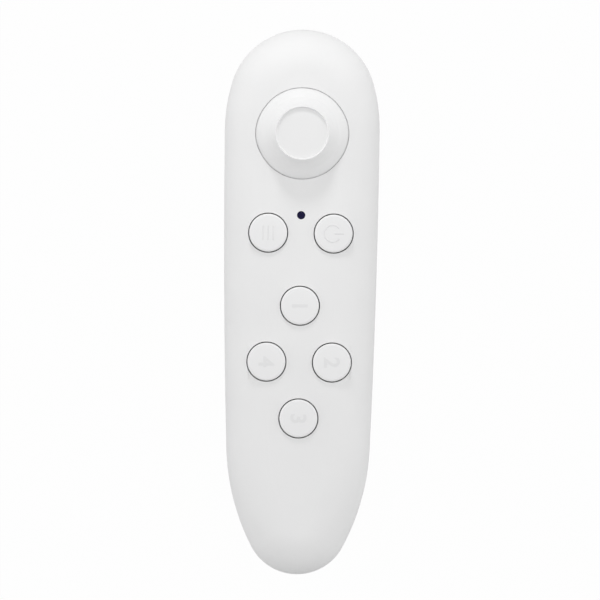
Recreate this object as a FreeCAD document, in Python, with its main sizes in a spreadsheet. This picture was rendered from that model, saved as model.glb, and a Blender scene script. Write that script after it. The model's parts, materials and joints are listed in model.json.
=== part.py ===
"""Handheld wireless game controller: a pebble-shaped housing in two halves, a thumb stick on a
two-axis gimbal, six round buttons over rubber domes, two triggers in the nose and a bay for two
AAA cells under a sliding door.

Millimetres. +Z points out of the face, +Y to the head, +X to the right as the face is seen.
The origin is under the middle of the flat back."""
import FreeCAD, Part
import math
import os
import re
import Sketcher

V = FreeCAD.Vector

SIZES = {
    "body_length": (131.0, "housing, head to tail"),
    "body_width": (37.24, "housing, widest place"),
    "shell_height": (22.0, "housing, back to face"),
    "head_tip_inset": (0.92, "plan arc round the head, under half the width"),
    "head_shoulder_radius": (40.8, "plan arc beside the stick"),
    "side_radius": (2140.0, "plan arc of the long sides"),
    "tail_shoulder_radius": (55.0, "plan arc where the sides draw in"),
    "tail_tip_radius": (12.4, "plan arc round the tail"),
    "widest_point": (41.4, "how far towards the head the housing is widest"),
    "face_rounding": (10.0, "rounding between face and sides"),
    "back_rounding": (6.5, "rounding between back and sides"),
    "wall": (1.8, "thickness of the moulded walls"),
    "wall_root": (1.3, "height where posts and inner walls rise from the back"),
    "inner_slant": (5.6, "slant across the inner corner under the face"),
    "inner_back_slant": (3.4, "slant across the inner corner over the back"),
    "split_height": (10.4, "height of the line where the halves meet"),
    "split_gap": (0.12, "shadow gap between the mouldings"),
    "lip_depth": (1.1, "how far the face moulding's lip reaches into the back"),
    "lip_thickness": (0.8, "thickness of that lip"),
    "lip_clearance": (0.12, "play round that lip"),
    "boss_radius": (2.4, "screw bosses"),
    "boss_side": (12.0, "head bosses, from the centre line"),
    "boss_head": (27.0, "head bosses, towards the head"),
    "boss_tail": (53.4, "tail boss, towards the tail"),
    "boss_meeting": (7.0, "height where the bosses of the halves meet"),
    "boss_top": (2.4, "head bosses' roots under the face"),
    "screw_radius": (0.9, "housing screws, shaft"),
    "screw_head_radius": (1.7, "housing screws, head"),
    "screw_head_height": (1.2, "housing screws, head"),
    "screw_length": (8.0, "housing screws, shaft"),
    "screw_recess": (1.4, "housing screws, head over the back"),
    "screw_clearance": (0.2, "play round the housing screws"),
    "tail_screw_recess": (2.2, "tail screw, head over the back"),
    "thread_clearance": (0.02, "play of a screw in its boss"),
    "stick_place": (40.4, "stick, towards the head"),
    "pivot_depth": (7.6, "stick pivot under the face"),
    "opening_radius": (13.4, "round opening for the stick, from its pivot"),
    "skirt_gap": (0.35, "gap between the stick's skirt and the opening"),
    "skirt_thickness": (1.0, "stick cap's skirt"),
    "skirt_angle": (74.0, "skirt's edge, degrees from upright"),
    "neck_radius": (9.0, "where the cap's cone leaves its skirt"),
    "rim_radius": (6.5, "cap's rim, outside"),
    "rim_height": (5.1, "cap's rim over the face"),
    "rim_edge": (0.35, "rounding of the rim"),
    "dish_radius": (5.6, "thumb dish"),
    "dish_depth": (0.7, "thumb dish, at its edge"),
    "dish_hollow": (0.3, "thumb dish, deeper at its middle"),
    "cap_ceiling": (10.0, "cap's hollow, top over the pivot"),
    "socket_radius": (3.0, "cap's socket, outside"),
    "socket_mouth": (7.7, "cap's socket, mouth over the pivot"),
    "post_radius": (1.7, "stick post, round part"),
    "post_tip_radius": (1.3, "stick post, end in the cap"),
    "post_tip": (10.9, "stick post, end over the pivot"),
    "post_half": (1.4, "stick post, half width of its flats"),
    "post_shoulder": (2.4, "stick post, end of its flats over the pivot"),
    "foot_radius": (2.3, "stick post, foot"),
    "foot_top": (3.0, "foot, upper face under the pivot"),
    "foot_thickness": (0.6, "foot"),
    "frame_half": (6.6, "gimbal frame, half width"),
    "frame_reach": (5.8, "gimbal frame, over and under the pivot"),
    "frame_wall": (1.0, "gimbal frame, walls"),
    "frame_floor": (0.5, "gimbal frame, floor"),
    "frame_opening": (5.1, "gimbal frame, opening for the post"),
    "trunnion_radius": (1.5, "rocker trunnions"),
    "trunnion_end": (6.5, "rocker trunnions, plain end"),
    "running_fit": (0.05, "play of a shaft in its bore"),
    "pin_radius": (0.6, "pin through the post"),
    "hub_half": (3.2, "lower rocker's hub, half width"),
    "hub_depth": (2.45, "lower rocker's hub, half depth"),
    "hub_height": (1.7, "lower rocker's hub, half height"),
    "hub_slot": (2.1, "lower rocker's slot for the post, half length"),
    "slot_play": (0.12, "play of the post in the rockers' slots"),
    "arch_inner": (4.1, "upper rocker's arch, inner radius"),
    "arch_outer": (5.1, "upper rocker's arch, outer radius"),
    "arch_half": (2.7, "upper rocker's arch, half width"),
    "arch_slot": (3.4, "upper rocker's slot, half length"),
    "arch_foot": (1.6, "upper rocker's arch, foot under the pivot"),
    "sensor_half": (4.2, "sensor cases, half width"),
    "sensor_depth": (2.0, "sensor cases, thickness"),
    "sensor_gap": (0.1, "sensor cases from the frame"),
    "wiper_radius": (2.4, "sensor wipers"),
    "wiper_thickness": (0.8, "sensor wipers"),
    "button_radius": (4.55, "buttons"),
    "button_gap": (0.27, "gap round the buttons"),
    "button_proud": (0.9, "buttons over the face"),
    "button_edge": (0.5, "slanted edge of the buttons"),
    "flange_radius": (5.4, "buttons' hidden flange"),
    "flange_thickness": (0.8, "buttons' hidden flange"),
    "flange_play": (0.1, "flange under the face moulding's collar"),
    "collar_drop": (2.9, "collar's lower face under the face"),
    "collar_radius": (5.9, "collars round the button holes"),
    "collar_half": (12.4, "collars' sides, from the centre line"),
    "flange_room": (0.25, "room round the flange"),
    "button_travel": (1.0, "buttons, full press"),
    "column": (7.85, "side buttons, from the centre line"),
    "upper_row": (16.5, "power and mode buttons, towards the head"),
    "top_row": (-0.9, "top button of the diamond"),
    "middle_row": (-14.4, "side buttons of the diamond"),
    "bottom_row": (-27.9, "bottom button of the diamond"),
    "lamp_place": (20.8, "status lamp, towards the head"),
    "lamp_radius": (0.95, "status lamp's window"),
    "lamp_gap": (0.05, "play round the window"),
    "dome_radius": (3.0, "rubber domes, foot"),
    "dome_top_radius": (1.9, "rubber domes, top"),
    "dome_gap": (0.05, "domes under the buttons"),
    "board_thickness": (1.0, "circuit boards"),
    "key_board_height": (14.4, "button board, underside"),
    "key_board_half": (13.2, "button board, half width"),
    "key_board_head": (24.2, "button board, head end"),
    "key_board_tail": (36.0, "button board, tail end"),
    "stick_board_half": (13.0, "stick board, half width"),
    "stick_board_tail": (30.4, "stick board, tail end"),
    "stick_board_setback": (9.0, "stick board's head end, from the nose"),
    "stick_board_corner": (4.5, "stick board, slanted head corners"),
    "post_side": (12.0, "button board's posts, from the centre line"),
    "head_posts": (7.0, "button board's head posts"),
    "tail_posts": (-27.0, "button board's tail posts"),
    "board_post_radius": (1.2, "button board's posts"),
    "screw_post_radius": (1.6, "stick board's posts"),
    "stick_post_side": (10.6, "stick board's posts, from the centre line"),
    "stick_post_tail": (33.8, "stick board's tail posts"),
    "stick_post_setback": (14.9, "stick board's head posts, from the nose"),
    "cell_radius": (5.25, "AAA cell"),
    "cell_length": (44.5, "AAA cell, over its tip"),
    "cell_tip_radius": (1.9, "AAA cell, positive tip"),
    "cell_tip_height": (0.9, "AAA cell, positive tip"),
    "cell_spacing": (11.2, "from cell to cell"),
    "cell_play": (0.25, "play round the cells"),
    "bay_head": (0.8, "bay, head end"),
    "bay_wall": (1.2, "bay's end walls"),
    "bay_side": (2.3, "bay's side walls"),
    "bay_arm": (1.0, "bay's side walls inside the tail"),
    "bay_arm_foot": (5.4, "lower edge of the walls inside the tail"),
    "tail_room_gap": (0.3, "play between the bay's tail and the door"),
    "tray_roof": (1.0, "roof over the cells"),
    "contact_thickness": (0.3, "contact plates"),
    "contact_half": (4.0, "contact plates, half width at one cell"),
    "leg_half": (1.0, "contact plates' legs, half width"),
    "contact_reach": (4.2, "contact plates, half height"),
    "contact_gap": (0.05, "cells from their contacts"),
    "nub_radius": (1.2, "contact plates' dimple"),
    "nub_height": (0.5, "contact plates' dimple"),
    "spring_length": (4.0, "contact leaves under load, out from their plate"),
    "leaf_half": (1.6, "contact leaves, half width"),
    "leaf_flat": (0.9, "contact leaves, half length of the flat on the cell"),
    "leaf_end": (3.4, "contact leaves, free end from the middle"),
    "leaf_rise": (0.5, "contact leaves, free end from the plate"),
    "door_half": (11.6, "door, half width"),
    "door_gap": (0.15, "gap round the door"),
    "door_head": (1.6, "door, head end"),
    "door_tail": (38.0, "where the door takes in the whole tail"),
    "door_thickness": (1.75, "door plate"),
    "rail_reach": (0.9, "door's rails beyond its edge"),
    "rail_base": (0.9, "door's rails over the back"),
    "rail_clearance": (0.1, "play round the rails"),
    "grip_place": (30.0, "first thumb groove, towards the tail"),
    "grip_pitch": (2.2, "from groove to groove"),
    "grip_radius": (0.5, "thumb grooves"),
    "grip_half": (5.0, "thumb grooves, half length"),
    "trigger_half": (7.0, "triggers, half width"),
    "trigger_height": (4.85, "each trigger"),
    "trigger_base": (3.1, "lower trigger's underside"),
    "trigger_gap": (0.35, "gap round the triggers"),
    "trigger_flange": (0.9, "hidden flange of the triggers"),
    "trigger_play": (0.1, "hidden flange inside the nose's wall"),
    "flange_reach": (1.1, "hidden flange beyond the trigger, each side"),
    "flange_foot": (2.3, "hidden flange over the lower trigger's underside"),
    "trigger_travel": (0.6, "triggers, full press"),
    "switch_half": (3.0, "trigger switches, half width"),
    "switch_length": (3.5, "trigger switches, front to back"),
    "switch_height": (3.1, "trigger switches"),
    "plunger_radius": (1.0, "trigger switches' plungers"),
    "plunger_proud": (1.0, "plunger outside its switch at rest"),
    "plunger_inside": (1.6, "plunger inside its switch at rest"),
    "finger_half": (1.2, "triggers' finger that meets the plunger, half width"),
    "chip_size": (6.0, "radio chip"),
    "chip_height": (0.9, "radio chip"),
    "ribbon_half": (4.0, "ribbon, half width"),
    "ribbon_thickness": (0.2, "ribbon"),
    "connector_length": (2.5, "ribbon connectors, front to back"),
    "connector_height": (1.2, "ribbon connectors"),
}

FOLLOWING = {
    "head_tip_radius": ("=body_width / 2 - head_tip_inset", "plan arc round the head"),
    "stick_board_head": ("=body_length / 2 - stick_board_setback", "stick board, head end"),
    "stick_post_head": ("=body_length / 2 - stick_post_setback", "stick board's head posts"),
}
NAMES = {**SIZES, **FOLLOWING}

document = FreeCAD.newDocument("game_controller")
sheet = document.addObject("Spreadsheet::Sheet", "Sizes")
for row, (alias, (number, meaning)) in enumerate(NAMES.items(), start=1):
    sheet.set(f"A{row}", meaning)
    sheet.set(f"B{row}", str(number))
    sheet.setAlias(f"B{row}", alias)
document.recompute()


def bound(formula):
    """The formula with the sheet's name before each size, as an expression reads it."""
    return re.sub(r"[a-z_]+", lambda word: "Sizes." + word[0] if word[0] in NAMES else word[0], formula)


def value(formula):
    """The number that a formula of sizes stands for."""
    return float(sheet.evalExpression(bound(formula)))


def bind(item, **formulas):
    for name, formula in formulas.items():
        item.setExpression(name, bound(formula))


def place(item, x="0", y="0", z="0"):
    for axis, formula in zip("xyz", (x, y, z)):
        item.setExpression(f"Placement.Base.{axis}", bound(formula))
    return item


# Sketches and the features made from them

def new_body(label):
    body = document.addObject("PartDesign::Body", label)
    body.Label = label
    return body


def origin_plane(body, role):
    return next(item for item in body.Origin.OriginFeatures if item.Role == role)


def new_sketch(body, name, role, lift="0"):
    """A sketch on one of the body's origin planes, lifted along its normal."""
    sketch = body.newObject("Sketcher::SketchObject", name)
    sketch.AttachmentSupport = [(origin_plane(body, role), "")]
    sketch.MapMode = "FlatFace"
    sketch.setExpression("AttachmentOffset.Base.z", bound(lift))
    return sketch


def hold(sketch, edge, point, x=None, y=None):
    """Tie one point of a sketch's edge to formulas for its place."""
    for kind, formula in (("DistanceX", x), ("DistanceY", y)):
        if formula is not None:
            number = sketch.addConstraint(Sketcher.Constraint(kind, -1, 1, edge, point, value(formula)))
            sketch.setExpression(f"Constraints[{number}]", bound(formula))


def hold_radius(sketch, edge, formula):
    number = sketch.addConstraint(Sketcher.Constraint("Radius", edge, value(formula)))
    sketch.setExpression(f"Constraints[{number}]", bound(formula))


def loop(sketch, corners):
    """A closed outline. A corner is x, y and, where an arc leaves it, that arc's radius, which is
    negative where the arc turns clockwise."""
    points = [V(value(corner[0]), value(corner[1]), 0) for corner in corners]
    ends = []
    for index, corner in enumerate(corners):
        start = points[index]
        finish = points[(index + 1) % len(points)]
        if len(corner) == 2:
            edge = sketch.addGeometry(Part.LineSegment(start, finish))
            ends.append((edge, 1, 2))
            continue
        turn = 1 if value(corner[2]) > 0 else -1
        radius = abs(value(corner[2]))
        chord = finish - start
        sagitta = radius - math.sqrt(radius ** 2 - chord.Length ** 2 / 4)
        side = V(chord.y, -chord.x, 0).normalize()
        middle = (start + finish) * 0.5 + side * (sagitta * turn)
        edge = sketch.addGeometry(Part.Arc(start, middle, finish))
        ends.append((edge, 1, 2) if turn > 0 else (edge, 2, 1))
        hold_radius(sketch, edge, corner[2] if turn > 0 else f"-({corner[2]})")
    for index, corner in enumerate(corners):
        edge, first, last = ends[index]
        after, after_first, after_last = ends[(index + 1) % len(ends)]
        sketch.addConstraint(Sketcher.Constraint("Coincident", edge, last, after, after_first))
        hold(sketch, edge, first, corner[0], corner[1])


def feature(body, kind, name, sketch, **formulas):
    item = body.newObject(f"PartDesign::{kind}", name)
    item.Profile = sketch
    bind(item, **formulas)
    return item


def turned(label, corners, x="0", y="0", z="0"):
    """A body turned about its own upright axis. Corners are radius and height."""
    body = new_body(label)
    sketch = new_sketch(body, f"{label}_profile", "XZ_Plane")
    loop(sketch, corners)
    turn = feature(body, "Revolution", f"{label}_turn", sketch)
    turn.ReferenceAxis = (sketch, ["V_Axis"])
    turn.Angle = 360
    return place(body, x, y, z)


def moulded_plate(label, corners, base, thickness):
    """A flat plate cut to an outline."""
    body = new_body(label)
    sketch = new_sketch(body, f"{label}_outline", "XY_Plane", base)
    loop(sketch, corners)
    feature(body, "Pad", f"{label}_pad", sketch, Length=thickness)
    return body


# Plain solids and booleans

def block(name, x, y, z):
    """A box between two formulas on each axis."""
    item = document.addObject("Part::Box", name)
    bind(item, Length=f"({x[1]}) - ({x[0]})", Width=f"({y[1]}) - ({y[0]})", Height=f"({z[1]}) - ({z[0]})")
    return place(item, x[0], y[0], z[0])


TURN_TO = {
    "z": FreeCAD.Rotation(),
    "x": FreeCAD.Rotation(V(0, 1, 0), 90),
    "y": FreeCAD.Rotation(V(1, 0, 0), -90),
}


def rod(name, radius, length, x="0", y="0", z="0", along="z"):
    item = document.addObject("Part::Cylinder", name)
    item.Placement = FreeCAD.Placement(V(), TURN_TO[along])
    bind(item, Radius=radius, Height=length)
    return place(item, x, y, z)


def joined(name, *items):
    item = document.addObject("Part::MultiFuse", name)
    item.Shapes = list(items)
    item.Label = name
    return item


def shared(name, *items):
    item = document.addObject("Part::MultiCommon", name)
    item.Shapes = list(items)
    item.Label = name
    return item


def less(name, base, *tools):
    item = document.addObject("Part::Cut", name)
    item.Base = base
    item.Tool = tools[0] if len(tools) == 1 else joined(f"{name}_openings", *tools)
    item.Label = name
    return item


# The housing's form

def tangent_centre(first, first_distance, second, second_distance, hand):
    """The point at two given distances from two centres, on one hand of the line between them."""
    line = second - first
    along = (first_distance ** 2 - second_distance ** 2 + line.Length ** 2) / (2 * line.Length)
    across = math.sqrt(first_distance ** 2 - along ** 2)
    unit = line / line.Length
    normal = V(-unit.y, unit.x, 0)
    candidates = (first + unit * along + normal * across, first + unit * along - normal * across)
    return max(candidates, key=lambda point: hand * point.y)


ARC_RADII = (
    "head_tip_radius",
    "head_shoulder_radius",
    "side_radius",
    "tail_shoulder_radius",
    "tail_tip_radius",
)


def left_arc_centres():
    """Centres of the five arcs down the left side, head to tail."""
    half_length = value("body_length") / 2
    tip, shoulder, side, hip, tail = (value(name) for name in ARC_RADII)
    head_centre = V(0, half_length - tip, 0)
    tail_centre = V(0, tail - half_length, 0)
    side_centre = V(side - value("body_width") / 2, value("widest_point"), 0)
    shoulder_centre = tangent_centre(head_centre, shoulder - tip, side_centre, side - shoulder, -1)
    hip_centre = tangent_centre(side_centre, side - hip, tail_centre, hip - tail, 1)
    return head_centre, shoulder_centre, side_centre, hip_centre, tail_centre


def plan_sketch(body, inset, lift):
    """The left half of the housing's plan, drawn in by an inset: five arcs, each tangent to the
    next, closed along the centre line."""
    sketch = new_sketch(body, f"{body.Label}_plan", "XY_Plane", lift)
    centres = left_arc_centres()
    joints = [math.pi / 2]
    for first, second in zip(centres, centres[1:]):
        outward = first - second if first.x > second.x else second - first
        joints.append(math.pi + math.atan(outward.y / outward.x))
    joints.append(3 * math.pi / 2)
    for edge, (centre, name) in enumerate(zip(centres, ARC_RADII)):
        curve = Part.Circle(centre, V(0, 0, 1), value(f"{name} - ({inset})"))
        sketch.addGeometry(Part.ArcOfCircle(curve, joints[edge], joints[edge + 1]))
    head_end = V(0, value(f"body_length / 2 - ({inset})"), 0)
    spine = sketch.addGeometry(Part.LineSegment(head_end * -1, head_end))
    last = len(centres) - 1
    for edge in range(last):
        sketch.addConstraint(Sketcher.Constraint("Tangent", edge, 2, edge + 1, 1))
    sketch.addConstraint(Sketcher.Constraint("Coincident", last, 2, spine, 1))
    sketch.addConstraint(Sketcher.Constraint("Coincident", spine, 2, 0, 1))
    for edge, name in enumerate(ARC_RADII):
        hold_radius(sketch, edge, f"{name} - ({inset})")
    hold(sketch, 0, 3, "0", "body_length / 2 - head_tip_radius")
    hold(sketch, last, 3, "0", "tail_tip_radius - body_length / 2")
    hold(sketch, 2, 3, "side_radius - body_width / 2", "widest_point")
    hold(sketch, spine, 1, "0")
    hold(sketch, spine, 2, "0")
    return sketch


def mirrored(body, name, *features):
    """The same features on the right side of the centre line."""
    mirror = body.newObject("PartDesign::Mirrored", name)
    mirror.Originals = list(features)
    mirror.MirrorPlane = (origin_plane(body, "YZ_Plane"), [""])
    body.Tip = mirror
    return mirror


def prism(label, inset, bottom, top):
    """The housing's plan, drawn in by an inset, between two heights."""
    body = new_body(label)
    sketch = plan_sketch(body, inset, bottom)
    half = feature(body, "Pad", f"{label}_half", sketch, Length=f"({top}) - ({bottom})")
    mirrored(body, f"{label}_whole", half)
    return body


def edges_at(shape, height):
    """Names of the edges that lie level at one height."""
    near = 0.01
    return [
        f"Edge{number}"
        for number, edge in enumerate(shape.Edges, start=1)
        if abs(edge.BoundBox.ZMin - height) < near and abs(edge.BoundBox.ZMax - height) < near
    ]


def treat_edges(body, kind, name, height, **formulas):
    """A fillet or chamfer round the whole form on the edges at one height."""
    document.recompute()
    base = body.Tip
    item = body.newObject(f"PartDesign::{kind}", name)
    item.Base = (base, edges_at(base.Shape, value(height)))
    bind(item, **formulas)
    return item


def pebble(label, inset):
    """The housing's whole form, drawn in by an inset all round, with a broad rounding between
    face and sides and a smaller one between back and sides."""
    top = f"shell_height - ({inset})"
    body = prism(label, inset, inset, top)
    treat_edges(body, "Fillet", f"{label}_face_rounding", top, Radius=f"face_rounding - ({inset})")
    treat_edges(body, "Fillet", f"{label}_back_rounding", inset, Radius=f"back_rounding - ({inset})")
    document.recompute()
    return body


def hollow(label, inset):
    """The space inside the walls: the same form with slanted inner corners."""
    top = f"shell_height - ({inset})"
    body = prism(label, inset, inset, top)
    treat_edges(body, "Chamfer", f"{label}_face_corner", top, Size="inner_slant")
    treat_edges(body, "Chamfer", f"{label}_back_corner", inset, Size="inner_back_slant")
    document.recompute()
    return body


outer_form = pebble("outer_form", "0")
inner_form = hollow("inner_form", "wall")

# Heights and places that several pieces share

PIVOT = "shell_height - pivot_depth"
ROOF = "door_thickness + 2 * cell_play + 2 * cell_radius"
CELL_HEIGHT = "door_thickness + cell_play + cell_radius"
CELL_ROOM = "cell_spacing / 2 + cell_radius + cell_play"
HEAD_CONTACT = "bay_head - contact_thickness"
CELL_HEAD = "bay_head - contact_thickness - nub_height - contact_gap"
TAIL_CONTACT = f"{CELL_HEAD} - cell_length - contact_gap - spring_length"
BAY_TAIL = f"{TAIL_CONTACT} - contact_thickness"
BOARD_TOP = "key_board_height + board_thickness"
STICK_BOARD_TOP = f"{PIVOT} - frame_reach"
STICK_BOARD_BASE = f"{STICK_BOARD_TOP} - board_thickness"
COLLAR_BASE = "shell_height - collar_drop"
FLANGE_TOP = f"{COLLAR_BASE} - flange_play"
FLANGE_BASE = f"{FLANGE_TOP} - flange_thickness"
SCREW_SEAT = "screw_recess + screw_head_height"
TAIL_SEAT = "tail_screw_recess + screw_head_height"
LOW = "-shell_height"
HIGH = "2 * shell_height"
WIDE = ("-body_width", "body_width")
LONG = ("-body_length", "body_length")

BUTTONS = {
    "power": ("column", "upper_row"),
    "mode": ("-column", "upper_row"),
    "top": ("0", "top_row"),
    "left": ("-column", "middle_row"),
    "right": ("column", "middle_row"),
    "bottom": ("0", "bottom_row"),
}
HANDS = {"left": "-1", "right": "1"}
STICK_POSTS = {"tail": "stick_post_tail", "head": "stick_post_head"}


def pair(name, side, radius, bottom, top, y):
    """An upright rod on each side of the centre line."""
    return [
        rod(f"{name}_{hand}", radius, f"({top}) - ({bottom})", f"{sign} * ({side})", y, bottom)
        for hand, sign in HANDS.items()
    ]


def button_rods(name, radius, bottom, top):
    return [
        rod(f"{name}_{label}", radius, f"({top}) - ({bottom})", x, y, bottom)
        for label, (x, y) in BUTTONS.items()
    ]


# Face half of the housing

above_split = block("above_split", WIDE, LONG, ("split_height + split_gap / 2", HIGH))
lip_form = prism("lip_form", "wall - lip_thickness", "split_height - lip_depth", "split_height + split_gap")
face_skin = less("face_skin", shared("face_half", outer_form, above_split), inner_form)
lip = less("lip", lip_form, inner_form)

collar_band = block("collar_band", ("-collar_half", "collar_half"), LONG, (COLLAR_BASE, HIGH))
collar_rods = joined(
    "collar_rods", *button_rods("collar", "collar_radius", COLLAR_BASE, "shell_height - wall / 2")
)
collars = shared("collars", collar_rods, collar_band)

face_bosses = pair(
    "face_boss", "boss_side", "boss_radius", "boss_meeting", "shell_height - boss_top", "boss_head"
)
face_bosses.append(rod(
    "face_boss_tail",
    "boss_radius",
    "shell_height - wall / 2 - boss_meeting",
    "0",
    "-boss_tail",
    "boss_meeting",
))
hold_downs = [
    post
    for end in ("head_posts", "tail_posts")
    for post in pair(
        f"hold_down_{end}", "post_side", "board_post_radius", BOARD_TOP, "shell_height - boss_top", end
    )
]
face_solid = joined("face_solid", face_skin, lip, collars, *face_bosses, *hold_downs)

PILOT_RADIUS = "screw_radius + thread_clearance"
SCREW_REACH = "screw_length + thread_clearance"
pilot_holes = pair(
    "pilot_hole", "boss_side", PILOT_RADIUS, SCREW_SEAT, f"{SCREW_SEAT} + {SCREW_REACH}", "boss_head"
)
pilot_holes.append(rod("pilot_hole_tail", PILOT_RADIUS, SCREW_REACH, "0", "-boss_tail", TAIL_SEAT))
stick_opening = document.addObject("Part::Sphere", "stick_opening")
bind(stick_opening, Radius="opening_radius")
place(stick_opening, "0", "stick_place", PIVOT)
nose_window = block(
    "nose_window",
    ("-trigger_half - trigger_gap", "trigger_half + trigger_gap"),
    ("stick_board_head + trigger_gap", "body_length"),
    ("trigger_base - trigger_gap", "trigger_base + 2 * trigger_height + 2 * trigger_gap"),
)
top_shell = less(
    "top_shell",
    face_solid,
    *button_rods("button_hole", "button_radius + button_gap", COLLAR_BASE, HIGH),
    *button_rods(
        "flange_space", "flange_radius + flange_room", f"{FLANGE_BASE} - 2 * button_travel", COLLAR_BASE
    ),
    rod(
        "lamp_hole", "lamp_radius + lamp_gap", "shell_height", "0", "lamp_place", "shell_height - 2 * wall"
    ),
    stick_opening,
    nose_window,
    *pilot_holes,
)

# Back half of the housing, with the battery bay

BACK_HEIGHTS = (LOW, "split_height - split_gap / 2")
ahead_of_tail = block("ahead_of_tail", WIDE, ("-door_tail", "body_length"), BACK_HEIGHTS)
rebate = prism(
    "rebate",
    "wall - lip_thickness - lip_clearance",
    "split_height - lip_depth - lip_clearance",
    "split_height + split_gap",
)
back_skin = less("back_skin", shared("back_half", outer_form, ahead_of_tail), inner_form, rebate)

BAY_TOP = f"{ROOF} + tray_roof"
BAY_HALF = f"{CELL_ROOM} + bay_side"
ARM_HALF = f"{CELL_ROOM} + bay_arm"
BAY_LENGTH = ("-door_tail", "bay_head + bay_wall")
BAY_END = (f"{BAY_TAIL} - bay_wall", BAY_TAIL)
bay_block = block("bay_block", (f"-({BAY_HALF})", BAY_HALF), BAY_LENGTH, ("wall_root", BAY_TOP))
tail_block = block(
    "tail_block", (f"-({ARM_HALF})", ARM_HALF), (BAY_END[0], "-door_tail"), ("bay_arm_foot", BAY_TOP)
)
end_block = block("end_block", (f"-({ARM_HALF})", ARM_HALF), BAY_END, ("wall", BAY_TOP))
tail_room = hollow("tail_room", "wall + tail_room_gap")
tail_walls = shared("tail_walls", joined("tail_blocks", tail_block, end_block), tail_room)
cell_space = block("cell_space", (f"-({CELL_ROOM})", CELL_ROOM), (BAY_TAIL, "bay_head"), (LOW, ROOF))
tail_boss = rod(
    "tail_boss", "boss_radius", "boss_meeting - tail_screw_recess", "0", "-boss_tail", "tail_screw_recess"
)
tail_tab = block(
    "tail_tab",
    ("-boss_radius", "boss_radius"),
    ("-boss_tail", f"{BAY_TAIL} - bay_wall / 2"),
    (TAIL_SEAT, "boss_meeting"),
)

back_bosses = pair("back_boss", "boss_side", "boss_radius", "wall_root", "boss_meeting", "boss_head")
head_posts = pair(
    "head_post", "post_side", "board_post_radius", "wall_root", "key_board_height", "head_posts"
)
roof_pads = pair("roof_pad", "post_side", "board_post_radius", ROOF, "key_board_height", "tail_posts")
stick_posts = [
    post
    for end, y in STICK_POSTS.items()
    for post in pair(
        f"stick_post_{end}", "stick_post_side", "screw_post_radius", "wall_root", STICK_BOARD_BASE, y
    )
]
back_solid = joined(
    "back_solid",
    back_skin, bay_block, tail_walls, tail_boss, tail_tab,
    *back_bosses, *head_posts, *roof_pads, *stick_posts,
)

RAIL_TOP = "door_thickness + rail_clearance"
DOOR_OPENING = ("-body_length", "door_head + door_gap")
door_opening = block(
    "door_opening", ("-door_half - door_gap", "door_half + door_gap"), DOOR_OPENING, (LOW, RAIL_TOP)
)
rail_channel = block(
    "rail_channel",
    ("-door_half - rail_reach - rail_clearance", "door_half + rail_reach + rail_clearance"),
    DOOR_OPENING,
    ("rail_base - rail_clearance", RAIL_TOP),
)


def screw_openings(name, x, y, seat):
    """The well for a housing screw's head and the clear hole for its shaft."""
    well = rod(
        f"{name}_well", "screw_head_radius + screw_clearance", "shell_height", x, y, f"{seat} - shell_height"
    )
    hole = rod(f"{name}_hole", "screw_radius + screw_clearance", "shell_height", x, y, "0")
    return [well, hole]


LEG_ROOM = "leg_half + contact_thickness"
leg_slots = [
    block(
        f"leg_slot_{hand}",
        (
            f"{sign} * cell_spacing / 2 - {LEG_ROOM.replace('+', '-')}",
            f"{sign} * cell_spacing / 2 + {LEG_ROOM}",
        ),
        (f"{HEAD_CONTACT} - contact_thickness", "bay_head"),
        (f"{ROOF} - tray_roof", HIGH),
    )
    for hand, sign in HANDS.items()
]
bottom_shell = less(
    "bottom_shell",
    back_solid,
    cell_space,
    door_opening,
    rail_channel,
    nose_window,
    *screw_openings("left_screw", "-boss_side", "boss_head", SCREW_SEAT),
    *screw_openings("right_screw", "boss_side", "boss_head", SCREW_SEAT),
    *screw_openings("tail_screw", "0", "-boss_tail", TAIL_SEAT),
    *leg_slots,
)

# Sliding door, which takes in the lower half of the tail

behind_bay = block("behind_bay", WIDE, ("-body_length", "-door_tail - door_gap"), BACK_HEIGHTS)
tail_skin = less("tail_skin", shared("tail_half", outer_form, behind_bay), inner_form, rebate)
DOOR_LENGTH = ("-door_tail - wall", "door_head")
door_slab = block("door_slab", ("-door_half", "door_half"), DOOR_LENGTH, ("0", "door_thickness"))
door_plate = shared("door_plate", door_slab, outer_form)
door_rails = block(
    "door_rails",
    ("-door_half - rail_reach", "door_half + rail_reach"),
    DOOR_LENGTH,
    ("rail_base", "door_thickness"),
)
grips = [
    rod(
        f"grip_{number}",
        "grip_radius",
        "2 * grip_half",
        "-grip_half",
        f"-grip_place - {number} * grip_pitch",
        "0",
        "x",
    )
    for number in range(4)
]
battery_door = less("battery_door", joined("door_solid", tail_skin, door_plate, door_rails), *grips)


# Screws

def screw(name, x, y, seat):
    """A housing screw that goes up from the face that its head sits on."""
    head = rod(f"{name}_head", "screw_head_radius", "screw_head_height", x, y, f"{seat} - screw_head_height")
    return joined(name, head, rod(f"{name}_shaft", "screw_radius", "screw_length", x, y, seat))


housing_screws = joined(
    "housing_screws",
    screw("left_housing_screw", "-boss_side", "boss_head", SCREW_SEAT),
    screw("right_housing_screw", "boss_side", "boss_head", SCREW_SEAT),
    screw("tail_housing_screw", "0", "-boss_tail", TAIL_SEAT),
)

# Buttons and their rubber domes

buttons = [
    turned(f"button_{label}", [
        ("0", "shell_height + button_proud"),
        ("0", FLANGE_BASE),
        ("flange_radius", FLANGE_BASE),
        ("flange_radius", FLANGE_TOP),
        ("button_radius", FLANGE_TOP),
        ("button_radius", "shell_height + button_proud - button_edge"),
        ("button_radius - button_edge", "shell_height + button_proud"),
    ], x, y)
    for label, (x, y) in BUTTONS.items()
]
DOME_TOP = f"{FLANGE_BASE} - dome_gap"
domes = [
    turned(f"dome_{label}", [
        ("0", BOARD_TOP),
        ("dome_radius", BOARD_TOP),
        ("dome_top_radius", DOME_TOP),
        ("0", DOME_TOP),
    ], x, y)
    for label, (x, y) in BUTTONS.items()
]

# Circuit boards and what they carry

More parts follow.
